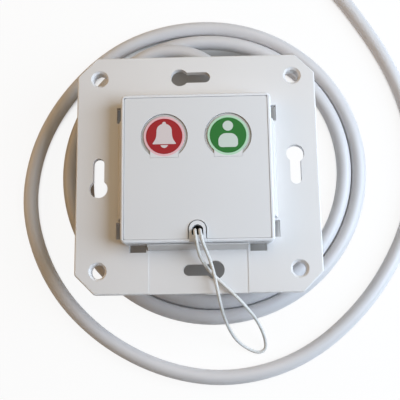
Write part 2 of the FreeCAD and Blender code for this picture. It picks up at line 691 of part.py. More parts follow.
def cord_arch(body):
    """Arch that stands up round the cord's exit, and the exit through it."""
    foot = f"({UNIT_HALF} - Sizes.rim_face)"
    sketch = new_sketch(body, "arch_outline", DECK_TOP)
    outline(sketch, arch_corners(size("arch_radius"), below("arch_middle"), foot))
    pad(body, sketch, "arch", f"{UNIT_FACE} + Sizes.arch_proud - {DECK_TOP}")
    sketch = new_sketch(body, "exit_outline", f"{UNIT_FACE} + Sizes.arch_proud")
    middle = f"({below('exit_top')} + Sizes.exit_radius)"
    outline(sketch, arch_corners(size("exit_radius"), middle, below("exit_foot")))
    pocket(body, sketch, "cord_exit", f"{UNIT_FACE} + Sizes.arch_proud - {DECK_BACK}")
    gap = new_sketch(body, "pull_gap_outline", f"{BRIDGE_LOW} - Sizes.pull_rest")
    half = "(Sizes.pull_width / 2 + Sizes.pull_gap)"
    box_outline(gap, f"-{half}", half,
                f"-{BODY_HALF} - Sizes.snap_gap", f"-{SKIRT_IN} + Sizes.snap_gap")
    pocket(body, gap, "pull_gap", f"{DECK_BACK} - {BRIDGE_LOW} + Sizes.pull_rest", upwards=True)


def pull_guides(body):
    """Two ribs beside the pull's arm and the pin that holds the spring's upper end."""
    inner = "(Sizes.pull_width / 2 + Sizes.pull_gap)"
    sketch = new_sketch(body, "guide_outline", ARM_LOW)
    box_outline(sketch, inner, f"{inner} + Sizes.guide_thick", f"-{below('guide_foot')}",
                f"-{below('guide_tail')}")
    guide = pad(body, sketch, "guide", f"{DECK_BACK} - {ARM_LOW}")
    mirrored(body, "both_guides", [guide], "YZ_Plane")
    sketch = new_sketch(body, "upper_pin_outline", f"{DECK_BACK} - Sizes.spring_pin_rise")
    circle(sketch, "0", f"-{below('spring_up')}", size("spring_pin"))
    pad(body, sketch, "upper_pin", size("spring_pin_rise"))


def rear_housing():
    """Moulded rear half: tray with a snap lip and the hole for the gland."""
    body = new_body("rear_housing")
    tray = new_sketch(body, "tray_outline")
    square(tray, BODY_HALF)
    pad(body, tray, "tray", size("split_height"))
    rounded(body, "tray_corners", size("body_round"), upright)
    rounded(body, "tray_back_edge", size("rear_round"), level_at("0"))
    inner = f"({BODY_HALF} - Sizes.rear_wall)"
    hollow = new_sketch(body, "tray_hollow_outline", size("split_height"))
    square(hollow, inner)
    pocket(body, hollow, "tray_hollow", "Sizes.split_height - Sizes.rear_floor")
    lip = new_sketch(body, "lip_outline", "Sizes.split_height - Sizes.lip_root")
    square(lip, LIP_OUT)
    square(lip, f"({LIP_OUT} - Sizes.lip_thick)")
    pad(body, lip, "lip", "Sizes.lip_root + Sizes.lip_rise")
    tab = new_sketch(body, "tab_outline", TAB_LOW)
    half = "(Sizes.tab_width / 2)"
    box_outline(tab, f"-{half}", half,
                f"{LIP_OUT} - Sizes.lip_thick / 2", f"{LIP_OUT} + Sizes.tab_reach")
    turned_four_times(body, "four_tabs", [pad(body, tab, "tab", size("tab_rise"))])
    hole = new_sketch(body, "gland_hole_outline", f"-{BODY_HALF}", plane="XZ_Plane")
    circle(hole, GLAND_RIGHT, size("gland_height"), "Sizes.gland_neck + Sizes.gland_fit")
    pocket(body, hole, "gland_hole", "3 * Sizes.rear_wall", midplane=True)
    return body


def front_plate():
    """Flat plate in the rim, with a C-shaped groove round each key and the arch's notch."""
    body = new_body("front_plate")
    half = f"({UNIT_HALF} - Sizes.rim_face - Sizes.plate_gap)"
    sheet_outline = new_sketch(body, "front_plate_outline", PLATE_BACK)
    square(sheet_outline, half)
    pad(body, sheet_outline, "plate", size("plate_thick"))
    rounded(body, "plate_corners", size("plate_round"), upright)
    notch = new_sketch(body, "notch_outline", PLATE_FACE)
    outline(notch, arch_corners("(Sizes.arch_radius + Sizes.arch_gap)", below("arch_middle"), half))
    pocket(body, notch, "arch_notch", size("plate_thick"))
    for side in ("left", "right"):
        groove = new_sketch(body, f"groove_outline_{side}", PLATE_FACE)
        outline(groove, key_corners(side, size("groove_radius"), size("seam")))
        pocket(body, groove, f"groove_{side}", size("plate_thick"))
    return body


def key_corners(side, radius, gap):
    """Outline of a key: round, with a neck that reaches down to the film hinge."""
    x, y = key_middle(side)
    half = f"(Sizes.neck_width / 2 + {gap})"
    shoulder = f"({y} - sqrt({radius} ^ 2 - {half} ^ 2))"
    foot = f"({y} - Sizes.neck_reach - {gap})"
    around = (radius, x, y)
    return [(f"{x} + {half}", shoulder), (f"{x} - {half}", shoulder, around),
            (f"{x} - {half}", foot), (f"{x} + {half}", foot)]


def key(name, side):
    """Key: round tongue on a hinge neck, with a flange, a seat for its disc and a post behind."""
    body = new_body(name)
    x, y = key_middle(side)
    tongue = new_sketch(body, f"{name}_outline", PLATE_BACK)
    outline(tongue, key_corners(side, size("key_radius"), "0"))
    pad(body, tongue, f"{name}_tongue", size("plate_thick"))
    flange = new_sketch(body, f"{name}_flange_outline", PLATE_BACK)
    outline(flange, key_corners(side, "(Sizes.groove_radius - Sizes.flange_gap)", "0"))
    pad(body, flange, f"{name}_flange", "Sizes.plate_thick - Sizes.groove_depth")
    seat = new_sketch(body, f"{name}_seat_outline", PLATE_FACE)
    circle(seat, x, y, "Sizes.disc_radius + Sizes.disc_gap")
    pocket(body, seat, f"{name}_seat", "Sizes.disc_thick - Sizes.disc_proud")
    post = new_sketch(body, f"{name}_post_outline", POST_LOW)
    circle(post, x, y, size("post_radius"))
    pad(body, post, f"{name}_post", f"{PLATE_BACK} - {POST_LOW}")
    rounded(body, f"{name}_post_tip", "Sizes.post_radius - Sizes.post_tip",
            level_at(POST_LOW), kind="Chamfer")
    return body


def key_disc(name, side):
    """Coloured disc in a key's seat."""
    x, y = key_middle(side)
    low = f"{PLATE_FACE} + Sizes.disc_proud - Sizes.disc_thick"
    return cylinder(name, size("disc_radius"), size("disc_thick"), x, y, low)


def key_switch(name, side):
    """Square push switch with a round bore for its plunger."""
    x, y = key_middle(side)
    case = block(f"{name}_case", size("switch_side"), size("switch_side"), size("switch_rise"),
                 x, y, size("board_top"))
    low = f"{size('board_top')} + Sizes.switch_rise - Sizes.plunger_deep - Sizes.plunger_stroke"
    bore = cylinder(f"{name}_bore", "Sizes.plunger_radius + Sizes.plunger_fit",
                    "Sizes.plunger_deep + Sizes.plunger_stroke", x, y, low)
    return cut(name, case, [bore])


def switch_plunger(name, side):
    """Plunger of a push switch."""
    x, y = key_middle(side)
    low = "Sizes.board_top + Sizes.switch_rise - Sizes.plunger_deep"
    rise = "Sizes.plunger_top - Sizes.switch_rise + Sizes.plunger_deep"
    return cylinder(name, size("plunger_radius"), rise, x, y, low)


def indicator_lamp(name, side):
    """Small lamp on the board that lights a key's rim."""
    x, y = key_middle(side)
    return block(name, size("lamp_long"), size("lamp_wide"), size("lamp_rise"),
                 x, f"({y} + Sizes.lamp_up)", size("board_top"))


def four_corners():
    """Signs of the four corners."""
    return [(across, along) for across in ("-", "") for along in ("-", "")]


def circuit_board():
    """Board on the four bosses."""
    board = block("board_sheet", size("board_side"), size("board_side"), size("board_thick"),
                  "0", "0", BOARD_BACK)
    holes = [cylinder(f"board_hole{number}", size("board_hole"), size("board_thick"),
                      f"{across}{SCREW_OFF}", f"{along}{SCREW_OFF}", BOARD_BACK)
             for number, (across, along) in enumerate(four_corners())]
    return cut("circuit_board", board, holes)


def board_screws():
    """Four screws that hold the board to its bosses."""
    screws = []
    for number, (across, along) in enumerate(four_corners()):
        x, y = f"{across}{SCREW_OFF}", f"{along}{SCREW_OFF}"
        head = cylinder(f"screw_head{number}", size("screw_head"), size("head_thick"),
                        x, y, f"{BOARD_BACK} - Sizes.head_thick")
        shank = cylinder(f"screw_shank{number}", size("screw_radius"),
                         "Sizes.board_thick + Sizes.screw_grip", x, y, BOARD_BACK)
        screw = joined(f"screw{number}", [head, shank])
        low = f"{BOARD_BACK} - Sizes.head_thick"
        long, thin = "1.4 * Sizes.screw_head", "0.3 * Sizes.screw_head"
        slots = [block(f"screw_slot_x{number}", long, thin, size("screw_drive"), x, y, low),
                 block(f"screw_slot_y{number}", thin, long, size("screw_drive"), x, y, low)]
        screws.append(cut(f"screw{number}", screw, slots))
    return joined("board_screws", screws)


def control_chip():
    """Control chip on the back of the board."""
    return block("control_chip", size("chip_side"), size("chip_side"), size("chip_thick"),
                 "-Sizes.chip_left", "-Sizes.chip_down", f"{BOARD_BACK} - Sizes.chip_thick")


def pull_slider():
    """Pull: head that holds the cord in the exit, bridge over the skirt, web and sprung arm."""
    body = new_body("pull_slider")
    side = new_sketch(body, "pull_side_outline", plane="YZ_Plane")
    front, inner, tail = (f"-{below(name)}" for name in ("pull_front", "pull_inner", "pull_tail"))
    web = f"({inner} + Sizes.pull_web)"
    outline(side, [(front, BRIDGE_LOW), (inner, BRIDGE_LOW), (inner, ARM_LOW), (tail, ARM_LOW),
                   (tail, ARM_TOP), (web, ARM_TOP), (web, BRIDGE_TOP), (front, BRIDGE_TOP)])
    pad(body, side, "pull_arm", size("pull_width"), midplane=True)
    head = new_sketch(body, "pull_head_outline", BRIDGE_TOP)
    middle = f"({below('exit_top')} + Sizes.exit_radius)"
    outline(head, arch_corners("(Sizes.exit_radius - Sizes.head_gap)", middle, below("pull_front")))
    pad(body, head, "pull_head", size("head_rise"))
    sockets = new_sketch(body, "socket_outline", HEAD_TOP)
    for across in ("-", ""):
        circle(sockets, f"{across}Sizes.cord_apart / 2", f"-{below('cord_up')}",
               "Sizes.cord_thick / 2 + Sizes.socket_gap")
    pocket(body, sockets, "cord_sockets", size("socket_depth"))
    lower_pin = new_sketch(body, "lower_pin_outline", ARM_TOP)
    circle(lower_pin, "0", f"-{below('spring_up')}", size("spring_pin"))
    pad(body, lower_pin, "lower_pin", size("spring_pin_rise"))
    seat = new_sketch(body, "magnet_seat_outline", ARM_LOW)
    circle(seat, "0", f"-{below('magnet_up')}", "Sizes.magnet_radius + Sizes.magnet_gap")
    pocket(body, seat, "magnet_seat", size("magnet_thick"), upwards=True)
    return body


def pull_spring():
    """Helical return spring between the pull's arm and the deck."""
    wire = size("spring_wire")
    rise = f"({DECK_BACK} - {ARM_TOP} - {wire} - 2 * Sizes.spring_seat)"
    path = doc.addObject("Part::Helix", "spring_path")
    path.setExpression("Radius", size("spring_radius"))
    path.setExpression("Height", rise)
    path.setExpression("Pitch", f"{rise} / Sizes.spring_turns")
    low = f"{ARM_TOP} + Sizes.spring_seat + {wire} / 2"
    place(path, y=f"-{below('spring_up')}", z=low)
    section = doc.addObject("Part::Circle", "spring_section")
    section.setExpression("Radius", f"{wire} / 2")
    section.Placement.Rotation = FreeCAD.Rotation(FreeCAD.Vector(1, 0, 0), 90)
    place(section, size("spring_radius"), f"-{below('spring_up')}", low)
    doc.recompute()
    spring = doc.addObject("Part::Sweep", "pull_spring")
    spring.Label = "pull_spring"
    spring.Sections = [section]
    spring.Spine = (path, [f"Edge{number}" for number, _ in enumerate(path.Shape.Edges, start=1)])
    spring.Solid = True
    spring.Frenet = True
    return spring


def pull_magnet():
    """Magnet in the end of the pull's arm."""
    return cylinder("pull_magnet", size("magnet_radius"), size("magnet_thick"),
                    "0", f"-{below('magnet_up')}", ARM_LOW)


def reed_switch():
    """Glass reed switch across the board, on two bent leads."""
    glass = cylinder("reed_glass", size("reed_radius"), size("reed_long"),
                     "-Sizes.reed_long / 2", f"-{below('reed_up')}",
                     f"Sizes.board_top + Sizes.reed_radius + Sizes.lead_thick / 2")
    glass.Placement.Rotation = FreeCAD.Rotation(FreeCAD.Vector(0, 1, 0), 90)
    parts = [glass]
    for across in ("-", ""):
        reach = "(Sizes.reed_long / 2 + Sizes.reed_lead / 2)"
        tall = "(Sizes.reed_radius + Sizes.lead_thick)"
        parts.append(block(f"reed_lead{across}", size("reed_lead"), size("lead_thick"),
                           size("lead_thick"), f"{across}{reach}", f"-{below('reed_up')}",
                           "Sizes.board_top + Sizes.reed_radius"))
        foot = "(Sizes.reed_long / 2 + Sizes.reed_lead - Sizes.lead_thick / 2)"
        parts.append(block(f"reed_foot{across}", size("lead_thick"), size("lead_thick"), tall,
                           f"{across}{foot}", f"-{below('reed_up')}", size("board_top")))
    return joined("reed_switch", parts)


def cable_gland():
    """Grommet in the rear housing's wall, with a flange each side and a tapered nose."""
    body = new_body("cable_gland")
    sketch = new_sketch(body, "gland_outline")
    bore = "(Sizes.cable_thick / 2 + Sizes.gland_fit)"
    back, wall = "(-Sizes.rear_wall - Sizes.gland_inner)", "-Sizes.rear_wall"
    nose = "(Sizes.gland_outer + Sizes.gland_nose)"
    flange, neck = size("gland_flange"), size("gland_neck")
    outline(sketch, [(bore, back), (flange, back), (flange, wall), (neck, wall), (neck, "0"),
                     (flange, "0"), (flange, size("gland_outer")), (size("nose_radius"), nose),
                     (bore, nose)])
    turned = body.newObject("PartDesign::Revolution", "gland_turned")
    turned.Profile = sketch
    turned.ReferenceAxis = (sketch, ["V_Axis"])
    turned.Angle = 360
    place(body, GLAND_RIGHT, BODY_HALF, size("gland_height"))
    return body


def terminal_block():
    """Four-way terminal block behind the board, wires in from the gland's side."""
    long = "(Sizes.terminal_ways * Sizes.terminal_pitch)"
    x, y = size("terminal_right"), size("terminal_up")
    case = block("terminal_case", long, size("terminal_deep"), size("terminal_rise"),
                 x, y, f"{BOARD_BACK} - Sizes.terminal_rise")
    tools = []
    for number in range(round(value(size("terminal_ways")))):
        across = terminal_place(number)
        entry = cylinder(f"terminal_entry{number}", size("entry_radius"), size("entry_deep"), across,
                         f"{y} + Sizes.terminal_deep / 2", f"{BOARD_BACK} - Sizes.entry_height")
        entry.Placement.Rotation = FreeCAD.Rotation(FreeCAD.Vector(1, 0, 0), 90)
        tools.append(entry)
        tools.append(cylinder(f"terminal_driver{number}", size("driver_radius"), size("driver_deep"),
                              across, y, f"{BOARD_BACK} - Sizes.terminal_rise"))
    return cut("terminal_block", case, tools)


def terminal_place(number):
    """Expression of a terminal's place along the block."""
    return f"Sizes.terminal_right + ({number} - (Sizes.terminal_ways - 1) / 2) * Sizes.terminal_pitch"


def tube_along(points, thick, name):
    """Round tube along straight runs joined by tangent arcs, each arc 0.45 of the shorter run."""
    spots = [FreeCAD.Vector(*point) for point in points]
    edges, here, radii = [], spots[0], []
    for before, corner, after in zip(spots, spots[1:], spots[2:]):
        arrive, leave = (corner - before), (after - corner)
        trim = 0.45 * min(arrive.Length, leave.Length)
        turn = arrive.getAngle(leave)
        radii.append(trim / math.tan(turn / 2))
        arrive.normalize()
        leave.normalize()
        start, end = corner - arrive * trim, corner + leave * trim
        inwards = (leave - arrive).normalize()
        middle = corner + inwards * (radii[-1] / math.cos(turn / 2) - radii[-1])
        edges += [Part.LineSegment(here, start).toShape(), Part.Arc(start, middle, end).toShape()]
        here = end
    edges.append(Part.LineSegment(here, spots[-1]).toShape())
    path = Part.Wire(edges)
    section = Part.Wire(Part.makeCircle(thick / 2, spots[0], spots[1] - spots[0]))
    tube = path.makePipeShell([section], True, False)
    wanted = math.pi * thick ** 2 / 4 * path.Length
    print(f"{name}: length {path.Length:.1f} mm, radii {min(radii):.1f} to {max(radii):.1f} mm, "
          f"volume {tube.Volume:.1f} of {wanted:.1f} mm3")
    return tube


def feature(name, shape):
    """Piece whose shape is worked out from the sheet's sizes."""
    thing = doc.addObject("Part::Feature", name)
    thing.Label = name
    thing.Shape = shape
    return thing


def cable_cores():
    """Four cores from the cable's end to the terminals."""
    x, z = value(GLAND_RIGHT), value(size("gland_height"))
    start = value(f"{GLAND_IN} - Sizes.cable_end")
    end = value("Sizes.terminal_up + Sizes.terminal_deep / 2 - Sizes.entry_deep / 2")
    height = value(f"{BOARD_BACK} - Sizes.entry_height")
    off, lead = value(size("core_off")), value(size("core_lead"))
    entry = value("Sizes.entry_deep / 2")
    cores = []
    for number, (across, along) in enumerate([(-1, 1), (-1, -1), (1, -1), (1, 1)]):
        at = value(terminal_place(number))
        points = [(x + across * off, start, z + along * off),
                  (x + across * off, start - lead, z + along * off),
                  (at, end + entry + lead, height),
                  (at, end, height)]
        cores.append(tube_along(points, value(size("core_thick")), f"core {number}"))
    return feature("cable_cores", Part.Compound(cores))


# Outermost turn of the put-away coil, whose turns lie in two layers, each a flat spiral
COIL_TURN = "(Sizes.coil_radius + Sizes.turn_pitch * Sizes.coil_turns / 4)"

# Route of the call cable, seen from above: out of the gland and up over the turns beside it,
# twice round the housing as a flat spiral, then one wide loop. Heights are of its middle line.
CABLE_LIES = 2.45
BEFORE_COIL = 13.0
FROM_GLAND = [(13.0, 27.6, 7.4), (9.2, 37.0, 7.4), (1.7, 43.8, 7.45), (-8.4, 46.6, 7.45),
              (-18.3, 44.4, 7.45), (-26.5, 37.0, 6.7), (-32.2, 27.9, 5.2), (-36.4, 17.2, 3.6),
              (-38.2, 5.2, 2.5)]
SPIRAL_MIDDLE = (4.0, 5.0)
SPIRAL_START, SPIRAL_END, SPIRAL_STEP = -160.0, 447.5, 22.5
SPIRAL_AT_ZERO = 45.0
WIDE_LOOP = [(-14.6, 54.9), (-32.0, 46.2), (-47.3, 29.6), (-55.9, 10.6), (-57.3, -10.2),
             (-48.9, -32.4), (-33.4, -49.2), (-12.5, -60.4), (10.2, -63.8), (33.6, -57.3),
             (53.5, -41.0), (66.8, -21.0), (73.2, -1.2), (73.4, 20.0), (66.4, 42.3),
             (54.0, 63.4), (45.5, 74.6)]


def coil_entry():
    """Where the cable meets the coil's outermost turn, and the direction it comes from."""
    angle = math.radians(value(size("coil_entry")))
    outer = value(COIL_TURN)
    return (FreeCAD.Vector(value(size("coil_right")) + outer * math.cos(angle),
                           value(size("coil_up")) + outer * math.sin(angle), CABLE_LIES),
            FreeCAD.Vector(math.sin(angle), -math.cos(angle), 0))


def cable_points():
    """Points of the call cable's route."""
    start = value(f"{GLAND_IN} - Sizes.cable_end")
    points = [(value(GLAND_RIGHT), start, value(size("gland_height")))] + FROM_GLAND
    swell = 1 / math.cos(math.radians(SPIRAL_STEP / 2))
    turns = round((SPIRAL_END - SPIRAL_START) / SPIRAL_STEP)
    for number in range(turns + 1):
        angle = SPIRAL_START + number * SPIRAL_STEP
        radius = swell * (SPIRAL_AT_ZERO + value(size("turn_pitch")) * angle / 360)
        points.append((SPIRAL_MIDDLE[0] + radius * math.cos(math.radians(angle)),
                       SPIRAL_MIDDLE[1] + radius * math.sin(math.radians(angle)), CABLE_LIES))
    points += [(x, y, CABLE_LIES) for x, y in WIDE_LOOP]
    meet, back = coil_entry()
    join = meet + back * value(size("stub_long"))
    return points + [tuple(join + back * BEFORE_COIL), tuple(join)]


def call_cable():
    """Call cable from the gland to the put-away coil."""
    return feature("call_cable", tube_along(cable_points(), value(size("cable_thick")), "call cable"))


def cable_coil():
    """Put-away coil: outer shape of its two layers of turns, with a straight length where the
    cable comes in and where it goes on to the plug."""
    x, y = value(size("coil_right")), value(size("coil_up"))
    thick, stub, outer = value(size("cable_thick")), value(size("stub_long")), value(COIL_TURN)
    wide, top = outer - value(size("coil_radius")) + thick / 2, 4 * CABLE_LIES
    side = [(-0.85 * wide, 0.0), (0.85 * wide, 0.0), (wide, 0.15 * top), (wide, 0.85 * top),
            (0.85 * wide, top), (-0.85 * wide, top), (-wide, 0.85 * top), (-wide, 0.15 * top)]
    middle = x + value(size("coil_radius"))
    corners = [FreeCAD.Vector(middle + across, y, up) for across, up in side + side[:1]]
    section = Part.Face(Part.makePolygon(corners))
    ring = section.revolve(FreeCAD.Vector(x, y, 0), FreeCAD.Vector(0, 0, 1), 360)
    inward = Part.makeCylinder(thick / 2, stub, *coil_entry())
    outward = Part.makeCylinder(thick / 2, stub, FreeCAD.Vector(x, y + outer, value(PLUG_AXIS)),
                                FreeCAD.Vector(-1, 0, 0))
    return feature("cable_coil", ring.fuse([inward, outward]).removeSplitter())


PLUG_MIDDLE = f"(Sizes.coil_up + {COIL_TURN})"
PLUG_REAR = "(Sizes.coil_right - Sizes.stub_long)"
PLUG_TIP = f"({PLUG_REAR} - Sizes.plug_long)"


def contact_place(number):
    """Expression of a plug contact's place across the plug."""
    return f"{PLUG_MIDDLE} + ({number} - (Sizes.plug_ways - 1) / 2) * Sizes.contact_pitch"


def cable_plug():
    """Modular plug at the cable's end: case with contact slots and a sprung latch on top."""
    case = block("plug_case", size("plug_long"), size("plug_width"), size("plug_rise"),
                 f"({PLUG_REAR} - Sizes.plug_long / 2)", PLUG_MIDDLE, "0")
    slots = [block(f"plug_slot{number}", size("contact_long"),
                   "(Sizes.contact_thick + 2 * Sizes.contact_gap)", size("contact_deep"),
                   f"({PLUG_TIP} + Sizes.contact_long / 2)", f"({contact_place(number)})", "0")
             for number in range(round(value(size("plug_ways"))))]
    case = cut("plug_case", case, slots)
    root = block("latch_root", "2 * Sizes.latch_thick", size("latch_width"),
                 "Sizes.latch_lift + Sizes.latch_thick", f"({PLUG_TIP} + 2 * Sizes.latch_thick)",
                 PLUG_MIDDLE, size("plug_rise"))
    latch = block("latch_tongue", size("latch_long"), size("latch_width"), size("latch_thick"),
                  f"({PLUG_TIP} + Sizes.latch_thick + Sizes.latch_long / 2)", PLUG_MIDDLE,
                  "Sizes.plug_rise + Sizes.latch_lift")
    return joined("cable_plug", [case, root, latch])


def plug_contacts():
    """Contact blades in the plug's slots."""
    blades = [block(f"plug_blade{number}", "0.9 * Sizes.contact_long", size("contact_thick"),
                    "0.8 * Sizes.contact_deep", f"({PLUG_TIP} + Sizes.contact_long / 2)",
                    f"({contact_place(number)})", "0.2 * Sizes.contact_deep")
              for number in range(round(value(size("plug_ways"))))]
    return joined("plug_contacts", blades)


# Route of the pull cord, one loop with both ends held in the pull's head: up out of the exit,
# over the rim and down to the plate, over the frame's edge and the cable to its far fold.
CORD_OUT = [(-0.75, -19.5, 32.2), (-0.4, -21.8, 32.4), (0.0, -24.2, 30.5),
            (0.7, -26.8, 27.9), (2.4, -29.4, 25.8), (4.8, -32.0, 25.0), (8.0, -35.2, 25.2),
            (11.6, -38.6, 25.2), (14.6, -41.6, 20.4), (17.2, -44.4, 13.6), (19.4, -47.8, 7.2),
            (20.8, -51.4, 2.4), (20.9, -54.2, 0.75)]
CORD_BACK = [(18.6, -55.4, 0.75), (15.0, -53.9, 1.0), (11.6, -51.4, 3.2), (9.2, -47.8, 8.6),
             (7.6, -44.2, 14.8), (6.6, -41.2, 21.0), (5.9, -38.2, 26.2), (5.2, -34.6, 27.3),
             (4.4, -30.6, 27.6), (3.4, -27.2, 28.3), (2.2, -24.4, 30.4), (1.2, -21.9, 32.4),
             (0.8, -19.5, 32.2)]


def pull_cord():
    """Pull cord: a thin loop, both ends in the sockets of the pull's head."""
    low = value(f"{HEAD_TOP} - Sizes.socket_depth")
    half, down = value("Sizes.cord_apart / 2"), -value(below("cord_up"))
    bend = value(UNIT_FACE)
    points = ([(-half, down, low), (-half, down, bend)] + CORD_OUT + CORD_BACK
              + [(half, down, bend), (half, down, low)])
    return feature("pull_cord", tube_along(points, value(size("cord_thick")), "pull cord"))


PIECES = [
    mounting_frame(), front_housing(), rear_housing(), front_plate(),
    key("call_key", "left"), key("presence_key", "right"),
    key_disc("call_key_disc", "left"), key_disc("presence_key_disc", "right"),
    key_switch("call_switch", "left"), key_switch("presence_switch", "right"),
    switch_plunger("call_switch_plunger", "left"), switch_plunger("presence_switch_plunger", "right"),
    indicator_lamp("call_lamp", "left"), indicator_lamp("presence_lamp", "right"),
    circuit_board(), board_screws(), control_chip(),
    pull_slider(), pull_spring(), pull_magnet(), reed_switch(), pull_cord(),
    cable_gland(), terminal_block(), cable_cores(), call_cable(), cable_coil(), cable_plug(),
    plug_contacts(),
]
doc.recompute()

for thing in doc.Objects:
    if "Invalid" in thing.State or "Error" in thing.State:
        raise ValueError(f"{thing.Name} failed: {thing.State}")
for piece in PIECES:
    if piece.Shape.isNull() or not piece.Shape.isValid():
        raise ValueError(f"{piece.Label} has no valid shape")
os.makedirs("parts", exist_ok=True)
for piece in PIECES:
    piece.Shape.exportStep(f"parts/{piece.Label}.step")
print(f"{len(PIECES)} pieces written")
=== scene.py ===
"""Nurse call module: pictograms, cable, pull cord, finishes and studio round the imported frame."""

import math

import bpy
import numpy as np
from mathutils import Matrix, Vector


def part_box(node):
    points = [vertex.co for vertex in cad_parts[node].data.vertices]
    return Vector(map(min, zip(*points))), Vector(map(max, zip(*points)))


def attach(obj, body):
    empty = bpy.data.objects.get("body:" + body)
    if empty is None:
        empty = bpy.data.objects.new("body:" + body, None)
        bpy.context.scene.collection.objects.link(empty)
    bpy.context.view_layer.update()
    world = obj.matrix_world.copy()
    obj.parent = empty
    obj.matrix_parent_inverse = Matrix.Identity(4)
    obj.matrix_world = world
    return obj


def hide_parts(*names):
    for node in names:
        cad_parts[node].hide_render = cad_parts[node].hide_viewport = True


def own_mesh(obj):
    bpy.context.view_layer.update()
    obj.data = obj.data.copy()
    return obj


bl_info = {
    "name": "Nurse Call Module",
    "version": (1, 0, 0),
    "blender": (4, 5, 0),
    "location": "3D View > Sidebar > Nurse Call",
    "description": "Dresses the packed nurse call module and sets up its studio",
    "category": "Object",
}

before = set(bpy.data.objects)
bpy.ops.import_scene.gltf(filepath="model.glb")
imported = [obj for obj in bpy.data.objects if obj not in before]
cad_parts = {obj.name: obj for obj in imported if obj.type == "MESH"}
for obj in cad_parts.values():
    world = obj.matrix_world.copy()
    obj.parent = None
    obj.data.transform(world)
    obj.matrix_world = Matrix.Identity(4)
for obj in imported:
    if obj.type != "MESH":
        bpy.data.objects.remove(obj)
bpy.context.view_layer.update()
MM = 0.001

# ---------------------------------------------------------------------------
# Sizes and colours
# ---------------------------------------------------------------------------


def linear(value):
    """Linear RGBA of an sRGB hex colour."""
    channels = np.array([int(value[at:at + 2], 16) for at in (1, 3, 5)]) / 255.0
    low, high = channels / 12.92, ((channels + 0.055) / 1.055) ** 2.4
    return (*(float(c) for c in np.where(channels <= 0.04045, low, high)), 1.0)


def colour(name, default, description):
    """Colour property from an sRGB hex value."""
    return bpy.props.FloatVectorProperty(
        name=name, description=description, subtype="COLOR", size=3, min=0.0, max=1.0,
        default=linear(default)[:3])


def opaque(rgb):
    """Linear RGBA of a colour property."""
    return (*rgb, 1.0)


class ModuleColours(bpy.types.PropertyGroup):
    """Colours of the visible plastics."""
    mounting: colour("Mounting frame", "#E1DFDE", "Moulded mounting frame")
    front: colour("Front housing", "#E4E5E8", "Rim, arch and skirt")
    plate: colour("Front plate", "#DEDEDF", "Flat plate round the keys")
    call_rim: colour("Call rim", "#E6B9BE", "Rim round the red disc")
    presence_rim: colour("Presence rim", "#B4DABC", "Rim round the green disc")
    # Painted shade: the groove's floor round each key is darker, as shade in the recess.
    groove: colour("Groove", "#C2BFBC", "Floor of the groove round a key")
    call_red: colour("Call red", "#A21F28", "Disc of the call key")
    presence_green: colour("Presence green", "#23732F", "Disc of the presence key")
    bell: colour("Bell", "#D8CDCD", "Bell on the red disc")
    figure: colour("Figure", "#CAD5CD", "Figure on the green disc")
    sheath: colour("Cable sheath", "#D6D4D5", "Sheath of the call cable")
    cord: colour("Pull cord", "#E2E1DE", "Braided pull cord")


class SymbolSizes(bpy.types.PropertyGroup):
    """Sizes of the printed symbols."""
    bell_rise: bpy.props.FloatProperty(
        name="Bell height", description="Apex to base of the bell", default=0.0069, unit="LENGTH")
    bell_width: bpy.props.FloatProperty(
        name="Bell width", description="Width of the bell's base", default=0.0071, unit="LENGTH")
    head_radius: bpy.props.FloatProperty(
        name="Head radius", description="Head of the figure", default=0.00155, unit="LENGTH")
    body_width: bpy.props.FloatProperty(
        name="Body width", description="Width of the figure's body", default=0.0058, unit="LENGTH")
    ink: bpy.props.FloatProperty(
        name="Ink thickness", description="How far a symbol stands over its disc", default=0.00004,
        unit="LENGTH")


class CordSizes(bpy.types.PropertyGroup):
    """Sizes of the cable and the pull cord."""
    cable_thick: bpy.props.FloatProperty(
        name="Cable diameter", description="Round call cable", default=0.0048, unit="LENGTH")
    cable_length: bpy.props.FloatProperty(
        name="Cable length", description="From the gland to the plug", default=1.80, unit="LENGTH")
    cord_thick: bpy.props.FloatProperty(
        name="Cord diameter", description="Braided pull cord", default=0.0010, unit="LENGTH")
    cord_length: bpy.props.FloatProperty(
        name="Cord length", description="The whole loop", default=0.127, unit="LENGTH")


class StudioSettings(bpy.types.PropertyGroup):
    """Lamps, backdrop and camera."""
    key_power: bpy.props.FloatProperty(
        name="Key lamp", description="Power of the cool lamp on the right", default=1.90,
        unit="POWER")
    top_power: bpy.props.FloatProperty(
        name="Top lamp", description="Power of the lamp over the module", default=0.70,
        unit="POWER")
    warm_power: bpy.props.FloatProperty(
        name="Warm lamp", description="Power of the warm lamp on the left", default=0.36,
        unit="POWER")
    low_power: bpy.props.FloatProperty(
        name="Low lamp", description="Power of the cool lamp in front of the module", default=0.03,
        unit="POWER")
    sky: bpy.props.FloatProperty(
        name="Room light", description="Strength of the light from all sides", default=0.12)


def settings():
    """The scene's property groups."""
    scene = bpy.context.scene
    return scene.ncm_colours, scene.ncm_symbols, scene.ncm_cords, scene.ncm_studio


# ---------------------------------------------------------------------------
# Materials
# ---------------------------------------------------------------------------

# Scale of the slow shade variation in a moulding, for patches 22 mm across.
PATCH_SCALE = 45.0

# On a key, in millimetres: where the rim's tint ends round the disc, and how far under the disc's
# top the groove's painted shade is full and gone.
RIM_ENDS = (6.0, 6.25)
GROOVE_UNDER = (0.4, 0.2)


def joined(tree, sockets, ends):
    """Feeds input sockets in order: each end is a socket to link or a plain value."""
    for socket, end in zip(sockets, ends):
        if isinstance(end, bpy.types.NodeSocket):
            tree.links.new(end, socket)
        else:
            socket.default_value = end


def node(tree, kind, given=None, **links):
    """Adds a node, sets its properties and unlinked inputs, and links the given sockets to it."""
    made = tree.nodes.new(kind)
    for name, value in (given or {}).items():
        if name in made.inputs:
            made.inputs[name].default_value = value
        else:
            setattr(made, name, value)
    for name, socket in links.items():
        tree.links.new(socket, made.inputs[name.replace("_", " ")])
    return made


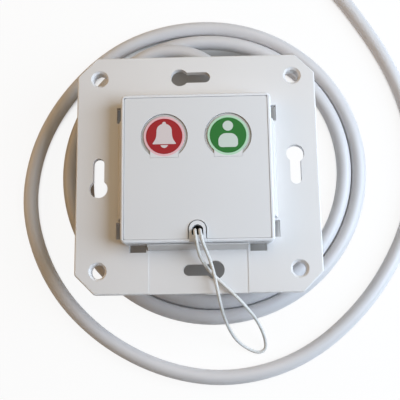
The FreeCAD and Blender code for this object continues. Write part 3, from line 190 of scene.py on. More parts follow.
def maths(tree, operation, *ends):
    """Result of a calculation on sockets or plain numbers."""
    made = node(tree, "ShaderNodeMath", {"operation": operation})
    joined(tree, made.inputs, ends)
    return made.outputs["Value"]


def ramp(tree, value, start, end, low=0.0, high=1.0):
    """Smooth step of a value from low at start to high at end."""
    made = node(tree, "ShaderNodeMapRange", {
        "interpolation_type": "SMOOTHSTEP", "From Min": start, "From Max": end,
        "To Min": low, "To Max": high}, Value=value)
    return made.outputs["Result"]


def new_material(name, base, roughness, ior=1.5, metallic=0.0, **more):
    """Material with a Principled shader set to constants; returns it, its tree and its shader."""
    material = bpy.data.materials.new(name)
    material.use_nodes = True
    tree = material.node_tree
    shader = tree.nodes["Principled BSDF"]
    shader.inputs["Base Color"].default_value = base
    shader.inputs["Roughness"].default_value = roughness
    shader.inputs["IOR"].default_value = ior
    shader.inputs["Metallic"].default_value = metallic
    for socket, value in more.items():
        shader.inputs[socket.replace("_", " ")].default_value = value
    material.diffuse_color = base
    return material, tree, shader


def mixed_colour(tree, factor, first, second, blend="MIX"):
    """Colour socket of two colours mixed; each is a socket or a plain value."""
    mix = node(tree, "ShaderNodeMix", {"data_type": "RGBA", "blend_type": blend})
    colours = [socket for socket in mix.inputs if socket.type == "RGBA"]
    joined(tree, [mix.inputs["Factor"], *colours], (factor, first, second))
    return next(socket for socket in mix.outputs if socket.type == "RGBA")


def grain(tree, shader, base, size_mm, depth_mm, shade=0.03, rough=(0.3, 0.5)):
    """Moulded texture: fine noise bump, slow shade variation and slight change of gloss."""
    place = node(tree, "ShaderNodeTexCoord").outputs["Object"]
    fine = node(tree, "ShaderNodeTexNoise", {"Scale": 1.0 / (size_mm * MM), "Detail": 3.0,
                                             "Roughness": 0.6}, Vector=place)
    slow = node(tree, "ShaderNodeTexNoise", {"Scale": PATCH_SCALE, "Detail": 2.0}, Vector=place)
    tone = node(tree, "ShaderNodeMapRange", {"From Min": 0.3, "From Max": 0.7, "To Min": 1.0 - shade,
                                             "To Max": 1.0}, Value=slow.outputs["Fac"])
    tree.links.new(mixed_colour(tree, 1.0, base, tone.outputs["Result"], "MULTIPLY"),
                   shader.inputs["Base Color"])
    gloss = node(tree, "ShaderNodeMapRange", {"From Min": 0.35, "From Max": 0.65, "To Min": rough[0],
                                              "To Max": rough[1]}, Value=fine.outputs["Fac"])
    tree.links.new(gloss.outputs["Result"], shader.inputs["Roughness"])
    bump = node(tree, "ShaderNodeBump", {"Strength": 0.5, "Distance": depth_mm * MM},
                Height=fine.outputs["Fac"])
    tree.links.new(bump.outputs["Normal"], shader.inputs["Normal"])


def moulded_plastic(name, base, roughness, size_mm=0.25, depth_mm=0.012, **more):
    """Injection-moulded plastic: satin, with the fine grain of the eroded mould."""
    material, tree, shader = new_material(name, base, roughness, ior=1.53, **more)
    grain(tree, shader, base, size_mm, depth_mm, rough=(roughness - 0.05, roughness + 0.08))
    return material


def printed_film(name, base, roughness):
    """Polycarbonate film printed from behind: even colour under a fine matt grain."""
    material, tree, shader = new_material(name, base, roughness, ior=1.58, Specular_IOR_Level=0.25)
    grain(tree, shader, base, 0.12, 0.004, shade=0.015, rough=(roughness - 0.03, roughness + 0.05))
    return material


def key_plastic(name, base, rim, groove, place):
    """Moulded key in the plate's colour, with its tinted rim round the disc and painted shade on the
    floor of the groove, told apart by distance from the disc's middle and by height."""
    (x, y), top = place
    material, tree, shader = new_material(name, base, 0.4, ior=1.58, Specular_IOR_Level=0.3)
    grain(tree, shader, base, 0.12, 0.004, shade=0.015, rough=(0.38, 0.46))
    at = node(tree, "ShaderNodeTexCoord").outputs["Object"]
    sides = node(tree, "ShaderNodeSeparateXYZ", Vector=at).outputs
    away = [maths(tree, "POWER", maths(tree, "SUBTRACT", sides[axis], middle), 2.0)
            for axis, middle in (("X", x), ("Y", y))]
    radius = maths(tree, "SQRT", maths(tree, "ADD", *away))
    grained = shader.inputs["Base Color"].links[0].from_socket
    inner, outer = (value * MM for value in RIM_ENDS)
    rimmed = mixed_colour(tree, ramp(tree, radius, inner, outer, 1.0, 0.0), grained, rim)
    # Painted shade: below the disc's top the key turns to the groove colour.
    deep, shallow = (top - value * MM for value in GROOVE_UNDER)
    low = ramp(tree, sides["Z"], deep, shallow, 1.0, 0.0)
    tree.links.new(mixed_colour(tree, low, rimmed, groove), shader.inputs["Base Color"])
    return material


def vinyl_sheath(name, base):
    """Extruded soft vinyl: satin and slightly waxy, with faintly uneven gloss."""
    material, tree, shader = new_material(name, base, 0.4, ior=1.54, Sheen_Weight=0.05)
    grain(tree, shader, base, 0.5, 0.01, shade=0.05, rough=(0.34, 0.46))
    return material


def braided_cord(name, base):
    """Braided polyester: matt and soft, with strands 0.35 mm across that cross on the cord."""
    material, tree, shader = new_material(name, base, 0.75, ior=1.5, Sheen_Weight=0.3,
                                          Sheen_Roughness=0.4)
    at = node(tree, "ShaderNodeTexCoord").outputs["Object"]
    strands = node(tree, "ShaderNodeTexVoronoi", {"Scale": 1.0 / (0.35 * MM), "Randomness": 0.4},
                   Vector=at).outputs["Distance"]
    # Painted shade: the cord's colour darkens towards the hollows between the strands.
    deep = mixed_colour(tree, 1.0, base, (0.72, 0.72, 0.70, 1.0), "MULTIPLY")
    tree.links.new(mixed_colour(tree, ramp(tree, strands, 0.35, 0.75), base, deep),
                   shader.inputs["Base Color"])
    bump = node(tree, "ShaderNodeBump", {"Strength": 0.6, "Distance": 0.08 * MM, "invert": True},
                Height=strands)
    tree.links.new(bump.outputs["Normal"], shader.inputs["Normal"])
    return material


def plated_metal(name, base, roughness):
    """Plated steel: bright, with fine marks in its gloss."""
    material, tree, shader = new_material(name, base, roughness, metallic=1.0)
    grain(tree, shader, base, 0.15, 0.002, shade=0.08, rough=(roughness - 0.08, roughness + 0.1))
    return material


def solder_resist(name, base):
    """Glass-fibre laminate under green solder resist, with a faint weave."""
    material, tree, shader = new_material(name, base, 0.3, ior=1.5, Coat_Weight=0.4)
    grain(tree, shader, base, 0.3, 0.004, shade=0.08, rough=(0.26, 0.36))
    place = node(tree, "ShaderNodeTexCoord").outputs["Object"]
    weave = node(tree, "ShaderNodeTexChecker", {"Scale": 1.0 / (0.5 * MM)}, Vector=place)
    bump = node(tree, "ShaderNodeBump", {"Strength": 0.2, "Distance": 0.01 * MM},
                Height=weave.outputs["Fac"])
    tree.links.new(bump.outputs["Normal"], shader.inputs["Normal"])
    return material


def clear_plastic(name, base, roughness, transmission):
    """Clear moulded polycarbonate or glass, slightly frosted."""
    material, tree, shader = new_material(name, base, roughness, ior=1.58,
                                          Transmission_Weight=transmission)
    grain(tree, shader, base, 0.4, 0.002, shade=0.02, rough=(roughness, roughness + 0.06))
    return material


def dress(names, material):
    """Gives CAD nodes a material."""
    for name in names:
        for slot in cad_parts[name].material_slots:
            slot.material = material


class NCM_OT_finishes(bpy.types.Operator):
    """Finish every CAD node in its own material"""
    bl_idname = "ncm.finishes"
    bl_label = "Finishes"

    def execute(self, context):
        colours = settings()[0]
        dress(["mounting_frame"], moulded_plastic("frame_abs", opaque(colours.mounting), 0.42))
        dress(["front_housing"], moulded_plastic("housing_polycarbonate", opaque(colours.front), 0.3,
                                                 size_mm=0.2, depth_mm=0.006))
        dress(["rear_housing"], moulded_plastic("rear_housing_abs", opaque(colours.mounting), 0.45))
        dress(["front_plate"], printed_film("front_plate_film", opaque(colours.plate), 0.42))
        for key, rim in (("call", colours.call_rim), ("presence", colours.presence_rim)):
            dress([f"{key}_key"],
                  key_plastic(f"{key}_key_polycarbonate", opaque(colours.plate), opaque(rim),
                              opaque(colours.groove), disc_place(f"{key}_key_disc")))
        dress(["call_key_disc"], printed_film("call_red_film", opaque(colours.call_red), 0.4))
        dress(["presence_key_disc"],
              printed_film("presence_green_film", opaque(colours.presence_green), 0.4))
        dress(["call_switch", "presence_switch", "control_chip"],
              moulded_plastic("switch_black_nylon", linear("#1C1D20"), 0.45))
        dress(["call_switch_plunger", "presence_switch_plunger"],
              moulded_plastic("plunger_grey_nylon", linear("#4A4B4E"), 0.4))
        dress(["pull_slider"], moulded_plastic("slider_dark_acetal", linear("#2B2C2F"), 0.35))
        dress(["call_lamp", "presence_lamp"],
              clear_plastic("lamp_epoxy", linear("#F1E7C4"), 0.2, 0.3))
        dress(["circuit_board"], solder_resist("board_green_resist", linear("#1E6B3C")))
        dress(["board_screws"], plated_metal("zinc_plated_steel", linear("#B9BBBF"), 0.3))
        dress(["pull_magnet"], plated_metal("nickel_plated_magnet", linear("#C9C8C4"), 0.18))
        dress(["reed_switch"], clear_plastic("reed_glass", linear("#BFE0CC"), 0.05, 0.8))
        dress(["cable_gland"], moulded_plastic("gland_soft_rubber", linear("#B9B9BC"), 0.6))
        dress(["terminal_block"], moulded_plastic("terminal_green_nylon", linear("#3F8F4E"), 0.4))
        dress(["cable_cores"], moulded_plastic("core_red_vinyl", linear("#A43A34"), 0.4))
        dress(["cable_plug"], clear_plastic("plug_polycarbonate", linear("#F4F8FA"), 0.06, 0.9))
        dress(["plug_contacts"], plated_metal("gold_plated_contact", linear("#D9B45A"), 0.22))
        return {"FINISHED"}


# ---------------------------------------------------------------------------
# Symbols on the keys
# ---------------------------------------------------------------------------

# Places and corner radii of the symbols' parts about the middle of their disc, in millimetres.
BELL_BASE, CLAPPER_MIDDLE, CLAPPER_RADIUS = -2.45, -2.5, 1.12
HEAD_MIDDLE, BODY_SPAN, FOOT_RADIUS, SHOULDER_RADIUS = 2.85, (-3.72, 0.55), 1.1, 2.3


def tube_faces(rows, columns, ends=True):
    """Faces round a tube of rows of points, each row closed on itself. Its two ends have one face
    each, or its last row joins the first."""
    at = np.arange(rows * columns).reshape(rows, columns)
    right, down = np.roll(at, -1, axis=1), np.roll(at, -1, axis=0)
    quads = np.stack([at, right, np.roll(down, -1, axis=1), down], axis=-1)
    if not ends:
        return quads.reshape(-1, 4).tolist()
    return quads[:-1].reshape(-1, 4).tolist() + [at[0, ::-1].tolist(), at[-1].tolist()]


def mesh_object(name, points, faces, smooth=False):
    """Object at the origin with its mesh in place."""
    mesh = bpy.data.meshes.new(name)
    mesh.from_pydata(points.reshape(-1, 3).tolist(), [], faces)
    mesh.polygons.foreach_set("use_smooth", [smooth] * len(mesh.polygons))
    mesh.update()
    made = bpy.data.objects.new(name, mesh)
    bpy.context.scene.collection.objects.link(made)
    return made


def printed_shape(name, height, half_width, place, ink):
    """Symmetric flat symbol: at each height y its half width is w(y). Each row of points goes over
    the ink's top as (u w(y), y) with u from -1 to 1, and back under it inside the disc."""
    (x, y), top = place
    over = np.linspace(-1.0, 1.0, 13)
    u, side = np.append(over, over[::-1]), np.repeat((ink, -ink), len(over))
    across, along = np.outer(half_width, u), np.repeat(height[:, None], len(u), axis=1)
    points = np.stack([x + across, y + along, np.broadcast_to(top + side, across.shape)], axis=-1)
    return mesh_object(name, points, tube_faces(*across.shape))


def bell_outline(rise, width):
    """Heights and half widths of a bell over its base, with y from 0 to 1: its lip flares as
    0.64 + 0.36 exp(-(5 y)^1.5), its crown closes as the ellipse sqrt(1 - ((y - 0.6) / 0.31)^2),
    and a knob of 0.16 sqrt(1 - ((y - 0.92) / 0.08)^2) stands on it."""
    y = 0.5 - 0.5 * np.cos(np.linspace(0.0, math.pi, 80))
    crown = np.sqrt(np.clip(1.0 - (np.clip(y - 0.6, 0.0, None) / 0.31) ** 2, 0.0, None))
    knob = np.sqrt(np.clip(1.0 - ((y - 0.92) / 0.08) ** 2, 0.0, None))
    foot = 1.0 - 0.08 * np.clip(1.0 - y / 0.03, 0.0, 1.0) ** 2
    half = np.maximum((0.64 + 0.36 * np.exp(-(5.0 * y) ** 1.5)) * crown * foot, 0.16 * knob)
    return BELL_BASE * MM + rise * y, np.maximum(half, 1e-3) * width / 2


def clapper_outline():
    """Heights and half widths of the clapper: the lower part of a disc under the bell."""
    turn = np.linspace(-math.pi / 2, -0.22, 20)
    return ((CLAPPER_MIDDLE + CLAPPER_RADIUS * np.sin(turn)) * MM,
            (CLAPPER_RADIUS * np.cos(turn) + 1e-4) * MM)


def round_outline(radius, middle):
    """Heights and half widths of a disc: sqrt(r^2 - y^2)."""
    turn = np.linspace(-math.pi / 2, math.pi / 2, 33)
    return middle + radius * np.sin(turn), radius * np.cos(turn) + 1e-7


def body_outline(width):
    """Heights and half widths of a body: straight sides between round corners below and wider
    round shoulders above, each a quarter circle of its radius."""
    low, high = BODY_SPAN
    turn = np.linspace(0.0, math.pi / 2, 14)
    foot_y, foot_w = low + FOOT_RADIUS * (1 - np.cos(turn)), FOOT_RADIUS * (1 - np.sin(turn))
    top_y, top_w = high - SHOULDER_RADIUS * (1 - np.sin(turn)), SHOULDER_RADIUS * (1 - np.cos(turn))
    return (np.concatenate([foot_y, top_y]) * MM,
            width / 2 - np.concatenate([foot_w, top_w]) * MM)


def disc_place(name):
    """Middle and top of a key's disc."""
    low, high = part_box(name)
    return ((low.x + high.x) / 2, (low.y + high.y) / 2), high.z


class NCM_OT_symbols(bpy.types.Operator):
    """Print the bell and the figure on the keys' discs"""
    bl_idname = "ncm.symbols"
    bl_label = "Key symbols"

    def execute(self, context):
        colours, sizes = settings()[:2]
        bell = printed_film("bell_print", opaque(colours.bell), 0.4)
        figure = printed_film("figure_print", opaque(colours.figure), 0.4)
        shapes = [
            ("call_bell", "call_key", bell, bell_outline(sizes.bell_rise, sizes.bell_width)),
            ("call_clapper", "call_key", bell, clapper_outline()),
            ("presence_head", "presence_key", figure,
             round_outline(sizes.head_radius, HEAD_MIDDLE * MM)),
            ("presence_body", "presence_key", figure, body_outline(sizes.body_width)),
        ]
        for name, key, ink, (height, half_width) in shapes:
            piece = printed_shape(name, height, half_width, disc_place(f"{key}_disc"), sizes.ink)
            piece.data.materials.append(ink)
            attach(piece, key)
        return {"FINISHED"}


# ---------------------------------------------------------------------------
# Cable and pull cord
# ---------------------------------------------------------------------------

# Route of the call cable, in millimetres: out of the gland, over the turns beside it, twice round
# the housing and once wide round, as the CAD tube runs.
CABLE_LIES = 2.45
FROM_GLAND = [(13.0, 16.0, 7.4), (13.0, 27.6, 7.4), (9.2, 37.0, 7.4), (1.7, 43.8, 7.45),
              (-8.4, 46.6, 7.45), (-18.3, 44.4, 7.45), (-26.5, 37.0, 6.7), (-32.2, 27.9, 5.2),
              (-36.4, 17.2, 3.6), (-38.2, 5.2, 2.5)]
SPIRAL_MIDDLE = (4.0, 5.0)
SPIRAL_START, SPIRAL_END, SPIRAL_STEP = -160.0, 447.5, 22.5
SPIRAL_AT_ZERO, TURN_PITCH = 45.0, 5.0
WIDE_LOOP = [(-14.6, 54.9), (-32.0, 46.2), (-47.3, 29.6), (-55.9, 10.6), (-57.3, -10.2),
             (-48.9, -32.4), (-33.4, -49.2), (-12.5, -60.4), (10.2, -63.8), (33.6, -57.3),
             (53.5, -41.0), (66.8, -21.0), (73.2, -1.2), (73.4, 20.0), (66.4, 42.3),
             (54.0, 63.4), (45.5, 74.6), (38.9, 86.9), (33.9, 98.9)]
COIL_MIDDLE, COIL_RADIUS, COIL_TURNS, COIL_ENTRY = (-6.0, 108.3), 28.1, 4.1875, 22.5
# Angle over which the coil climbs to its upper layer, and the y past which only the coil lies.
COIL_CLIMB, COIL_BEYOND = 80.0, 80.0
TO_PLUG = [(-7.5, 0.0, 6.4), (-15.0, 0.0, 4.4), (-21.0, 0.0, 4.0), (-29.0, 0.0, 4.0)]

# Tie round the coil, in millimetres: its width, its thickness and its height over the surface.
TIE_WIDE, TIE_THICK, TIE_LOW = 3.5, 0.5, 0.02

# Return spring of the pull: its wire in millimetres and its turns.
SPRING_WIRE, SPRING_TURNS = 0.36, 4.5

# Route of the pull cord, in millimetres: one loop with both ends in the pull's head.
PULL_LOOP = [(-0.7, -18.75, 26.0), (-0.7, -18.75, 30.5), (-0.75, -19.5, 32.2), (-0.4, -21.8, 32.4),
             (0.0, -24.2, 30.5), (0.7, -26.8, 27.9), (2.4, -29.4, 25.8), (4.8, -32.0, 25.0),
             (8.0, -35.2, 25.2), (11.6, -38.6, 25.2), (14.6, -41.6, 20.4), (17.2, -44.4, 13.6),
             (19.4, -47.8, 7.2), (20.8, -51.4, 2.4), (20.9, -54.2, 0.75), (18.6, -55.4, 0.75),
             (15.0, -53.9, 1.0), (11.6, -51.4, 3.2), (9.2, -47.8, 8.6), (7.6, -44.2, 14.8),
             (6.6, -41.2, 21.0), (5.9, -38.2, 26.2), (5.2, -34.6, 27.3), (4.4, -30.6, 27.6),
             (3.4, -27.2, 28.3), (2.2, -24.4, 30.4), (1.2, -21.9, 32.4), (0.8, -19.5, 32.2),
             (0.7, -18.75, 30.5), (0.7, -18.75, 26.0)]


def spiral_points():
    """Flat spiral round the housing: radius grows evenly with the angle."""
    angle = np.arange(SPIRAL_START, SPIRAL_END + 0.1, SPIRAL_STEP)
    radius = (SPIRAL_AT_ZERO + TURN_PITCH * angle / 360.0) / math.cos(math.radians(SPIRAL_STEP / 2))
    turn = np.radians(angle)
    x, y = SPIRAL_MIDDLE
    return np.stack([x + radius * np.cos(turn), y + radius * np.sin(turn),
                     np.full_like(turn, CABLE_LIES)], axis=-1)


def coil_points():
    """Put-away coil: a spiral inwards on the surface, then one outwards on top of it."""
    swept = np.arange(SPIRAL_STEP / 2, 360.0 * COIL_TURNS, SPIRAL_STEP)
    inner_turn = 180.0 * COIL_TURNS
    outer = COIL_RADIUS + TURN_PITCH * COIL_TURNS / 4
    radius = outer - TURN_PITCH * (inner_turn - np.abs(swept - inner_turn)) / 360.0
    radius = radius / math.cos(math.radians(SPIRAL_STEP / 2))
    climb = np.clip((swept - inner_turn + COIL_CLIMB / 2) / COIL_CLIMB, 0.0, 1.0)
    turn = np.radians(COIL_ENTRY + swept)
    x, y = COIL_MIDDLE
    return np.stack([x + radius * np.cos(turn), y + radius * np.sin(turn),
                     CABLE_LIES + 2 * CABLE_LIES * climb], axis=-1)


def open_spline(name, points, thick):
    """Round tube on one smooth open spline through control points in millimetres."""
    curve = bpy.data.curves.new(name, "CURVE")
    curve.dimensions = "3D"
    curve.bevel_depth = thick / 2
    curve.bevel_resolution = 6
    curve.resolution_u = 8
    curve.use_fill_caps = True
    spline = curve.splines.new("NURBS")
    spline.points.add(len(points) - 1)
    weighted = np.append(points * MM, np.ones((len(points), 1)), axis=1)
    spline.points.foreach_set("co", weighted.ravel())
    spline.order_u = 3
    spline.use_endpoint_u = True
    made = bpy.data.objects.new(name, curve)
    bpy.context.scene.collection.objects.link(made)
    return made


def centre_line(curve):
    """Points along a curve's middle, read from a copy of it without its round section."""
    bare = curve.data.copy()
    bare.bevel_depth = 0.0
    line = bpy.data.objects.new("line", bare)
    mesh = bpy.data.meshes.new_from_object(line)
    points = np.empty(3 * len(mesh.vertices))
    mesh.vertices.foreach_get("co", points)
    bpy.data.objects.remove(line)
    return points.reshape(-1, 3)


def coil_tie(line, thick):
    """Flat tie round the put-away coil, on the side away from the entry. In the cut of the coil
    there, with cable middles c, the tie's outline in the direction n(v) is the support point
    p(v) = c* + r n(v), where c* is the middle that lies farthest along n. Its own section is a flat
    oval: p + (t/2) cos(w) n across the thickness and (b/2) sin(w) along the cable."""
    x, y = (value * MM for value in COIL_MIDDLE)
    before, after = line[:-1], line[1:]
    cut = (((before[:, 1] - y) * (after[:, 1] - y) <= 0) & (before[:, 0] < x)
           & (before[:, 1] > COIL_BEYOND * MM))
    middles = (before[cut] + after[cut])[:, [0, 2]] / 2
    v = np.linspace(0.0, 2 * math.pi, 97)
    outward = np.stack([np.cos(v), np.sin(v)], axis=-1)
    farthest = middles[np.argmax(outward @ middles.T, axis=1)]
    w = np.linspace(0.0, 2 * math.pi, 17)
    reach = thick / 2 + TIE_THICK / 2 * MM * (1 + np.cos(w))
    across = farthest[:, None, :] + reach[None, :, None] * outward[:, None, :]
    height = np.maximum(across[..., 1], TIE_LOW * MM + (0.5 - 0.5 * np.cos(w)) * TIE_THICK * MM)
    along = np.broadcast_to(y + TIE_WIDE / 2 * MM * np.sin(w), height.shape)
    return np.stack([across[..., 0], along, height], axis=-1)[:-1, :-1]


class NCM_OT_cable(bpy.types.Operator):
    """Lay the call cable from the gland to its plug"""
    bl_idname = "ncm.cable"
    bl_label = "Call cable"

    def execute(self, context):
        colours, _, sizes, _ = settings()
        loop = np.array([(x, y, CABLE_LIES) for x, y in WIDE_LOOP])
        plug_side = COIL_MIDDLE[1] + COIL_RADIUS + TURN_PITCH * COIL_TURNS / 4
        leave = np.array(TO_PLUG) + np.array([COIL_MIDDLE[0], plug_side, 0.0])
        points = np.concatenate([np.array(FROM_GLAND), spiral_points(), loop, coil_points(), leave])
        cable = open_spline("call_cable_sheath", points, sizes.cable_thick)
        cable.data.materials.append(vinyl_sheath("cable_vinyl", opaque(colours.sheath)))
        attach(cable, "module")
        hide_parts("call_cable", "cable_coil")
        band = coil_tie(centre_line(cable), sizes.cable_thick)
        tie = mesh_object("coil_tie", band, tube_faces(*band.shape[:2], ends=False), smooth=True)
        tie.data.materials.append(moulded_plastic("tie_nylon", linear("#3A3B3E"), 0.45))
        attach(tie, "module")
        return {"FINISHED"}


class NCM_OT_pull_cord(bpy.types.Operator):
    """Lay the looped pull cord over the frame"""
    bl_idname = "ncm.pull_cord"
    bl_label = "Pull cord"

    def execute(self, context):
        colours, _, sizes, _ = settings()
        cord = open_spline("pull_cord_braid", np.array(PULL_LOOP), sizes.cord_thick)
        cord.data.materials.append(braided_cord("cord_polyester", opaque(colours.cord)))
        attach(cord, "cord_pull")
        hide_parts("pull_cord")
        return {"FINISHED"}


def spring_surface(name, wire, turns):
    """Wound wire inside its node's box: its middle is c(t) = (R cos a, R sin a, rise t) with
    a = 2 pi n t, and its surface c + r (cos w u + sin w v), with u outwards and v across both."""
    low, high = (np.array(corner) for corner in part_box(name))
    radius = (high[0] - low[0] - wire) / 2
    t = np.linspace(0.0, 1.0, int(turns * 36) + 1)
    a = 2 * math.pi * turns * t
    zero, climb = np.zeros_like(a), (high[2] - low[2] - wire) / (2 * math.pi * turns)
    outward = np.stack([np.cos(a), np.sin(a), zero], axis=-1)
    forward = np.stack([-radius * np.sin(a), radius * np.cos(a), zero + climb], axis=-1)
    across = np.cross(forward / np.linalg.norm(forward, axis=1)[:, None], outward)
    x, y = (low[:2] + high[:2]) / 2
    middle = radius * outward + np.stack([zero + x, zero + y, low[2] + wire / 2 + climb * a],
                                         axis=-1)
    w = np.linspace(0.0, 2 * math.pi, 12, endpoint=False)
    return middle[:, None] + wire / 2 * (np.cos(w)[:, None] * outward[:, None]
                                         + np.sin(w)[:, None] * across[:, None])


class NCM_OT_return_spring(bpy.types.Operator):
    """Wind the pull's return spring at rest; the real one shortens as the cord is pulled"""
    bl_idname = "ncm.return_spring"
    bl_label = "Return spring"

    def execute(self, context):
        points = spring_surface("pull_spring", SPRING_WIRE * MM, SPRING_TURNS)
        spring = mesh_object("return_spring", points, tube_faces(*points.shape[:2]), smooth=True)
        spring.data.materials.append(plated_metal("spring_steel_wire", linear("#B9BBBF"), 0.3))
        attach(spring, "module")
        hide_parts("pull_spring")
        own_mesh(spring)
        return {"FINISHED"}


# ---------------------------------------------------------------------------
# Studio
# ---------------------------------------------------------------------------

# Camera fitted to the photograph: turn of the view about the object's axes in degrees, the eye's
# place in metres, and the lens and the sensor's width in millimetres.
VIEW_TURN = (-10.48, -1.18, 0.87)
EYE = (0.00419, -0.04467, 0.2169)
LENS, SENSOR = 58.5, 36.0

# Lamps: power setting, colour, side and place in metres. They point at the module's front.
LAMPS = {
    "key_lamp": ("key_power", "#DBECFF", 0.29, (0.29, -0.01, 0.24)),
    "top_lamp": ("top_power", "#FFF3DC", 0.40, (0.05, 0.28, 0.54)),
    "warm_lamp": ("warm_power", "#FFC67C", 0.30, (-0.34, 0.10, 0.20)),
    "low_lamp": ("low_power", "#B4CEFF", 0.30, (0.10, -0.38, 0.20)),
}
LAMP_TARGET = (0.0, 0.0, 0.025)

# Floor, in metres: half its side, and how far it lies under the object.
FLOOR_REACH, FLOOR_LEVEL = 1.2, -0.00002
# Paper colour, and the darker colour painted on it as shade under the module.
PAPER, FLOOR_PAINTED_SHADE = "#F4F4F4", "#8C8985"

# Painted shade under the module, a rounded square where the paper takes a darker colour: axis,
# middle and reach in millimetres. It fades over the given part of that reach.
PAINTED_SHADE_SQUARE = (("X", -1.0, 30.0), ("Y", 8.0, 43.0))
PAINTED_SHADE_EDGE = (0.9, 1.06)

# How much of the floor the camera sees as plain white, in the open and in the painted shade. Close
# to the object, within the reach in millimetres, that share fades out as the floor is closed in.
WHITE_SHARE = (0.91, 0.04)
CONTACT_REACH, CONTACT_FADE = 6.0, (0.2, 0.45)


def area_lamp(name, power, tint, width, place):
    """Square soft lamp that points at the module."""
    data = bpy.data.lights.new(name, "AREA")
    data.energy, data.color, data.size = power, linear(tint)[:3], width
    lamp = bpy.data.objects.new(name, data)
    away = np.array(place) - np.array(LAMP_TARGET)
    lamp.location = place
    lamp.rotation_euler = (math.acos(away[2] / np.linalg.norm(away)), 0.0,
                           math.atan2(away[1], away[0]) + math.pi / 2)
    bpy.context.scene.collection.objects.link(lamp)


def white_room(strength):
    """World: white to the camera, also through clear plastic, and a plain warm level of light for
    the rest."""
    world = bpy.data.worlds.new("studio_room")
    world.use_nodes = True
    tree = world.node_tree
    light = tree.nodes["Background"]
    light.inputs["Color"].default_value = linear("#FFE9C0")
    light.inputs["Strength"].default_value = strength
    white = node(tree, "ShaderNodeBackground", {"Color": (1.0, 1.0, 1.0, 1.0), "Strength": 1.0})
    rays = node(tree, "ShaderNodeLightPath")
    seen = maths(tree, "MAXIMUM", rays.outputs["Is Camera Ray"], rays.outputs["Is Transmission Ray"])
    mix = node(tree, "ShaderNodeMixShader", Fac=seen)
    tree.links.new(light.outputs["Background"], mix.inputs[1])
    tree.links.new(white.outputs["Background"], mix.inputs[2])
    tree.links.new(mix.outputs["Shader"], tree.nodes["World Output"].inputs["Surface"])
    bpy.context.scene.world = world


def floor_paper():
    """Matt white paper: it shows white in the open, and painted shade, a darker colour, inside the
    rounded square (x/a)^4 + (y/b)^4 < 1 right under the module, where its holes look down on it."""
    material, tree, shader = new_material("white_paper", linear(PAPER), 0.9)
    at = node(tree, "ShaderNodeTexCoord").outputs["Object"]
    sides = node(tree, "ShaderNodeSeparateXYZ", Vector=at).outputs
    shares = []
    for axis, middle, reach in PAINTED_SHADE_SQUARE:
        away = maths(tree, "DIVIDE", maths(tree, "SUBTRACT", sides[axis], middle * MM), reach * MM)
        shares.append(maths(tree, "POWER", maths(tree, "ABSOLUTE", away), 4.0))
    around = maths(tree, "POWER", maths(tree, "ADD", *shares), 0.25)
    # Painted shade: the paper's colour turns darker inside the square.
    under = ramp(tree, around, *PAINTED_SHADE_EDGE, 1.0, 0.0)
    tree.links.new(mixed_colour(tree, under, linear(PAPER), linear(FLOOR_PAINTED_SHADE)),
                   shader.inputs["Base Color"])
    glow = node(tree, "ShaderNodeEmission", {"Color": (1.0, 1.0, 1.0, 1.0), "Strength": 1.0})
    near = node(tree, "ShaderNodeAmbientOcclusion",
                {"samples": 8, "Distance": CONTACT_REACH * MM}).outputs["AO"]
    rays = node(tree, "ShaderNodeLightPath")
    seen = maths(tree, "MULTIPLY", rays.outputs["Is Camera Ray"], ramp(tree, near, *CONTACT_FADE))
    share = maths(tree, "MULTIPLY", seen, ramp(tree, under, 0.0, 1.0, *WHITE_SHARE))
    mix = node(tree, "ShaderNodeMixShader", Fac=share)
    tree.links.new(shader.outputs["BSDF"], mix.inputs[1])
    tree.links.new(glow.outputs["Emission"], mix.inputs[2])
    tree.links.new(mix.outputs["Shader"], tree.nodes["Material Output"].inputs["Surface"])
    return material


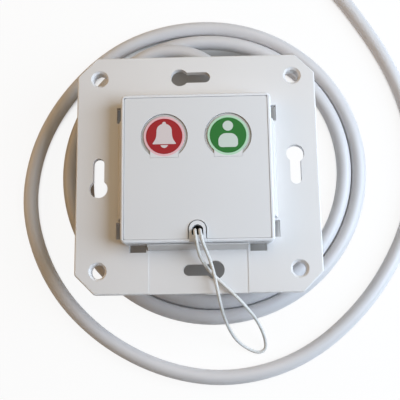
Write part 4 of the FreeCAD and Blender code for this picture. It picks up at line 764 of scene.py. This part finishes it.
class NCM_OT_studio(bpy.types.Operator):
    """Set the floor, the lamps and the camera"""
    bl_idname = "ncm.studio"
    bl_label = "Studio"

    def execute(self, context):
        studio = settings()[3]
        scene = context.scene
        corners = np.array([(-1.0, -1.0), (1.0, -1.0), (1.0, 1.0), (-1.0, 1.0)]) * FLOOR_REACH
        floor = mesh_object("studio_floor", np.insert(corners, 2, FLOOR_LEVEL, axis=1),
                            [(0, 1, 2, 3)])
        floor.data.materials.append(floor_paper())
        white_room(studio.sky)
        for name, (power, tint, width, place) in LAMPS.items():
            area_lamp(name, getattr(studio, power), tint, width, place)
        turn = np.radians(VIEW_TURN)
        view = (Matrix.Rotation(turn[0], 3, "X") @ Matrix.Rotation(turn[1], 3, "Y")
                @ Matrix.Rotation(turn[2], 3, "Z"))
        data = bpy.data.cameras.new("photo_camera")
        data.lens, data.sensor_width, data.clip_start = LENS, SENSOR, 0.01
        camera = bpy.data.objects.new("photo_camera", data)
        camera.matrix_world = Matrix.Translation(EYE) @ view.transposed().to_4x4()
        scene.collection.objects.link(camera)
        scene.camera = camera
        scene.view_settings.view_transform = "Standard"
        return {"FINISHED"}


# ---------------------------------------------------------------------------
# Add-on
# ---------------------------------------------------------------------------


class NCM_PT_panel(bpy.types.Panel):
    """Lists the module's operators"""
    bl_idname = "NCM_PT_panel"
    bl_label = "Nurse call module"
    bl_space_type = "VIEW_3D"
    bl_region_type = "UI"
    bl_category = "Nurse Call"

    def draw(self, context):
        for operator in OPERATORS:
            self.layout.operator(operator.bl_idname)


OPERATORS = (NCM_OT_studio, NCM_OT_cable, NCM_OT_pull_cord, NCM_OT_return_spring, NCM_OT_finishes,
             NCM_OT_symbols)
GROUPS = {"ncm_colours": ModuleColours, "ncm_symbols": SymbolSizes, "ncm_cords": CordSizes,
          "ncm_studio": StudioSettings}


def register():
    """Registers the classes and hangs the settings on the scene."""
    for made in (*GROUPS.values(), *OPERATORS, NCM_PT_panel):
        bpy.utils.register_class(made)
    for name, group in GROUPS.items():
        setattr(bpy.types.Scene, name, bpy.props.PointerProperty(type=group))


def unregister():
    """Takes the settings and the classes away again."""
    for name in GROUPS:
        delattr(bpy.types.Scene, name)
    for made in (NCM_PT_panel, *reversed(OPERATORS), *GROUPS.values()):
        bpy.utils.unregister_class(made)


def main():
    """Builds everything in order."""
    register()
    bpy.ops.ncm.studio()
    bpy.ops.ncm.cable()
    bpy.ops.ncm.pull_cord()
    bpy.ops.ncm.return_spring()
    bpy.ops.ncm.finishes()
    bpy.ops.ncm.symbols()


if __name__ == "__main__":
    main()
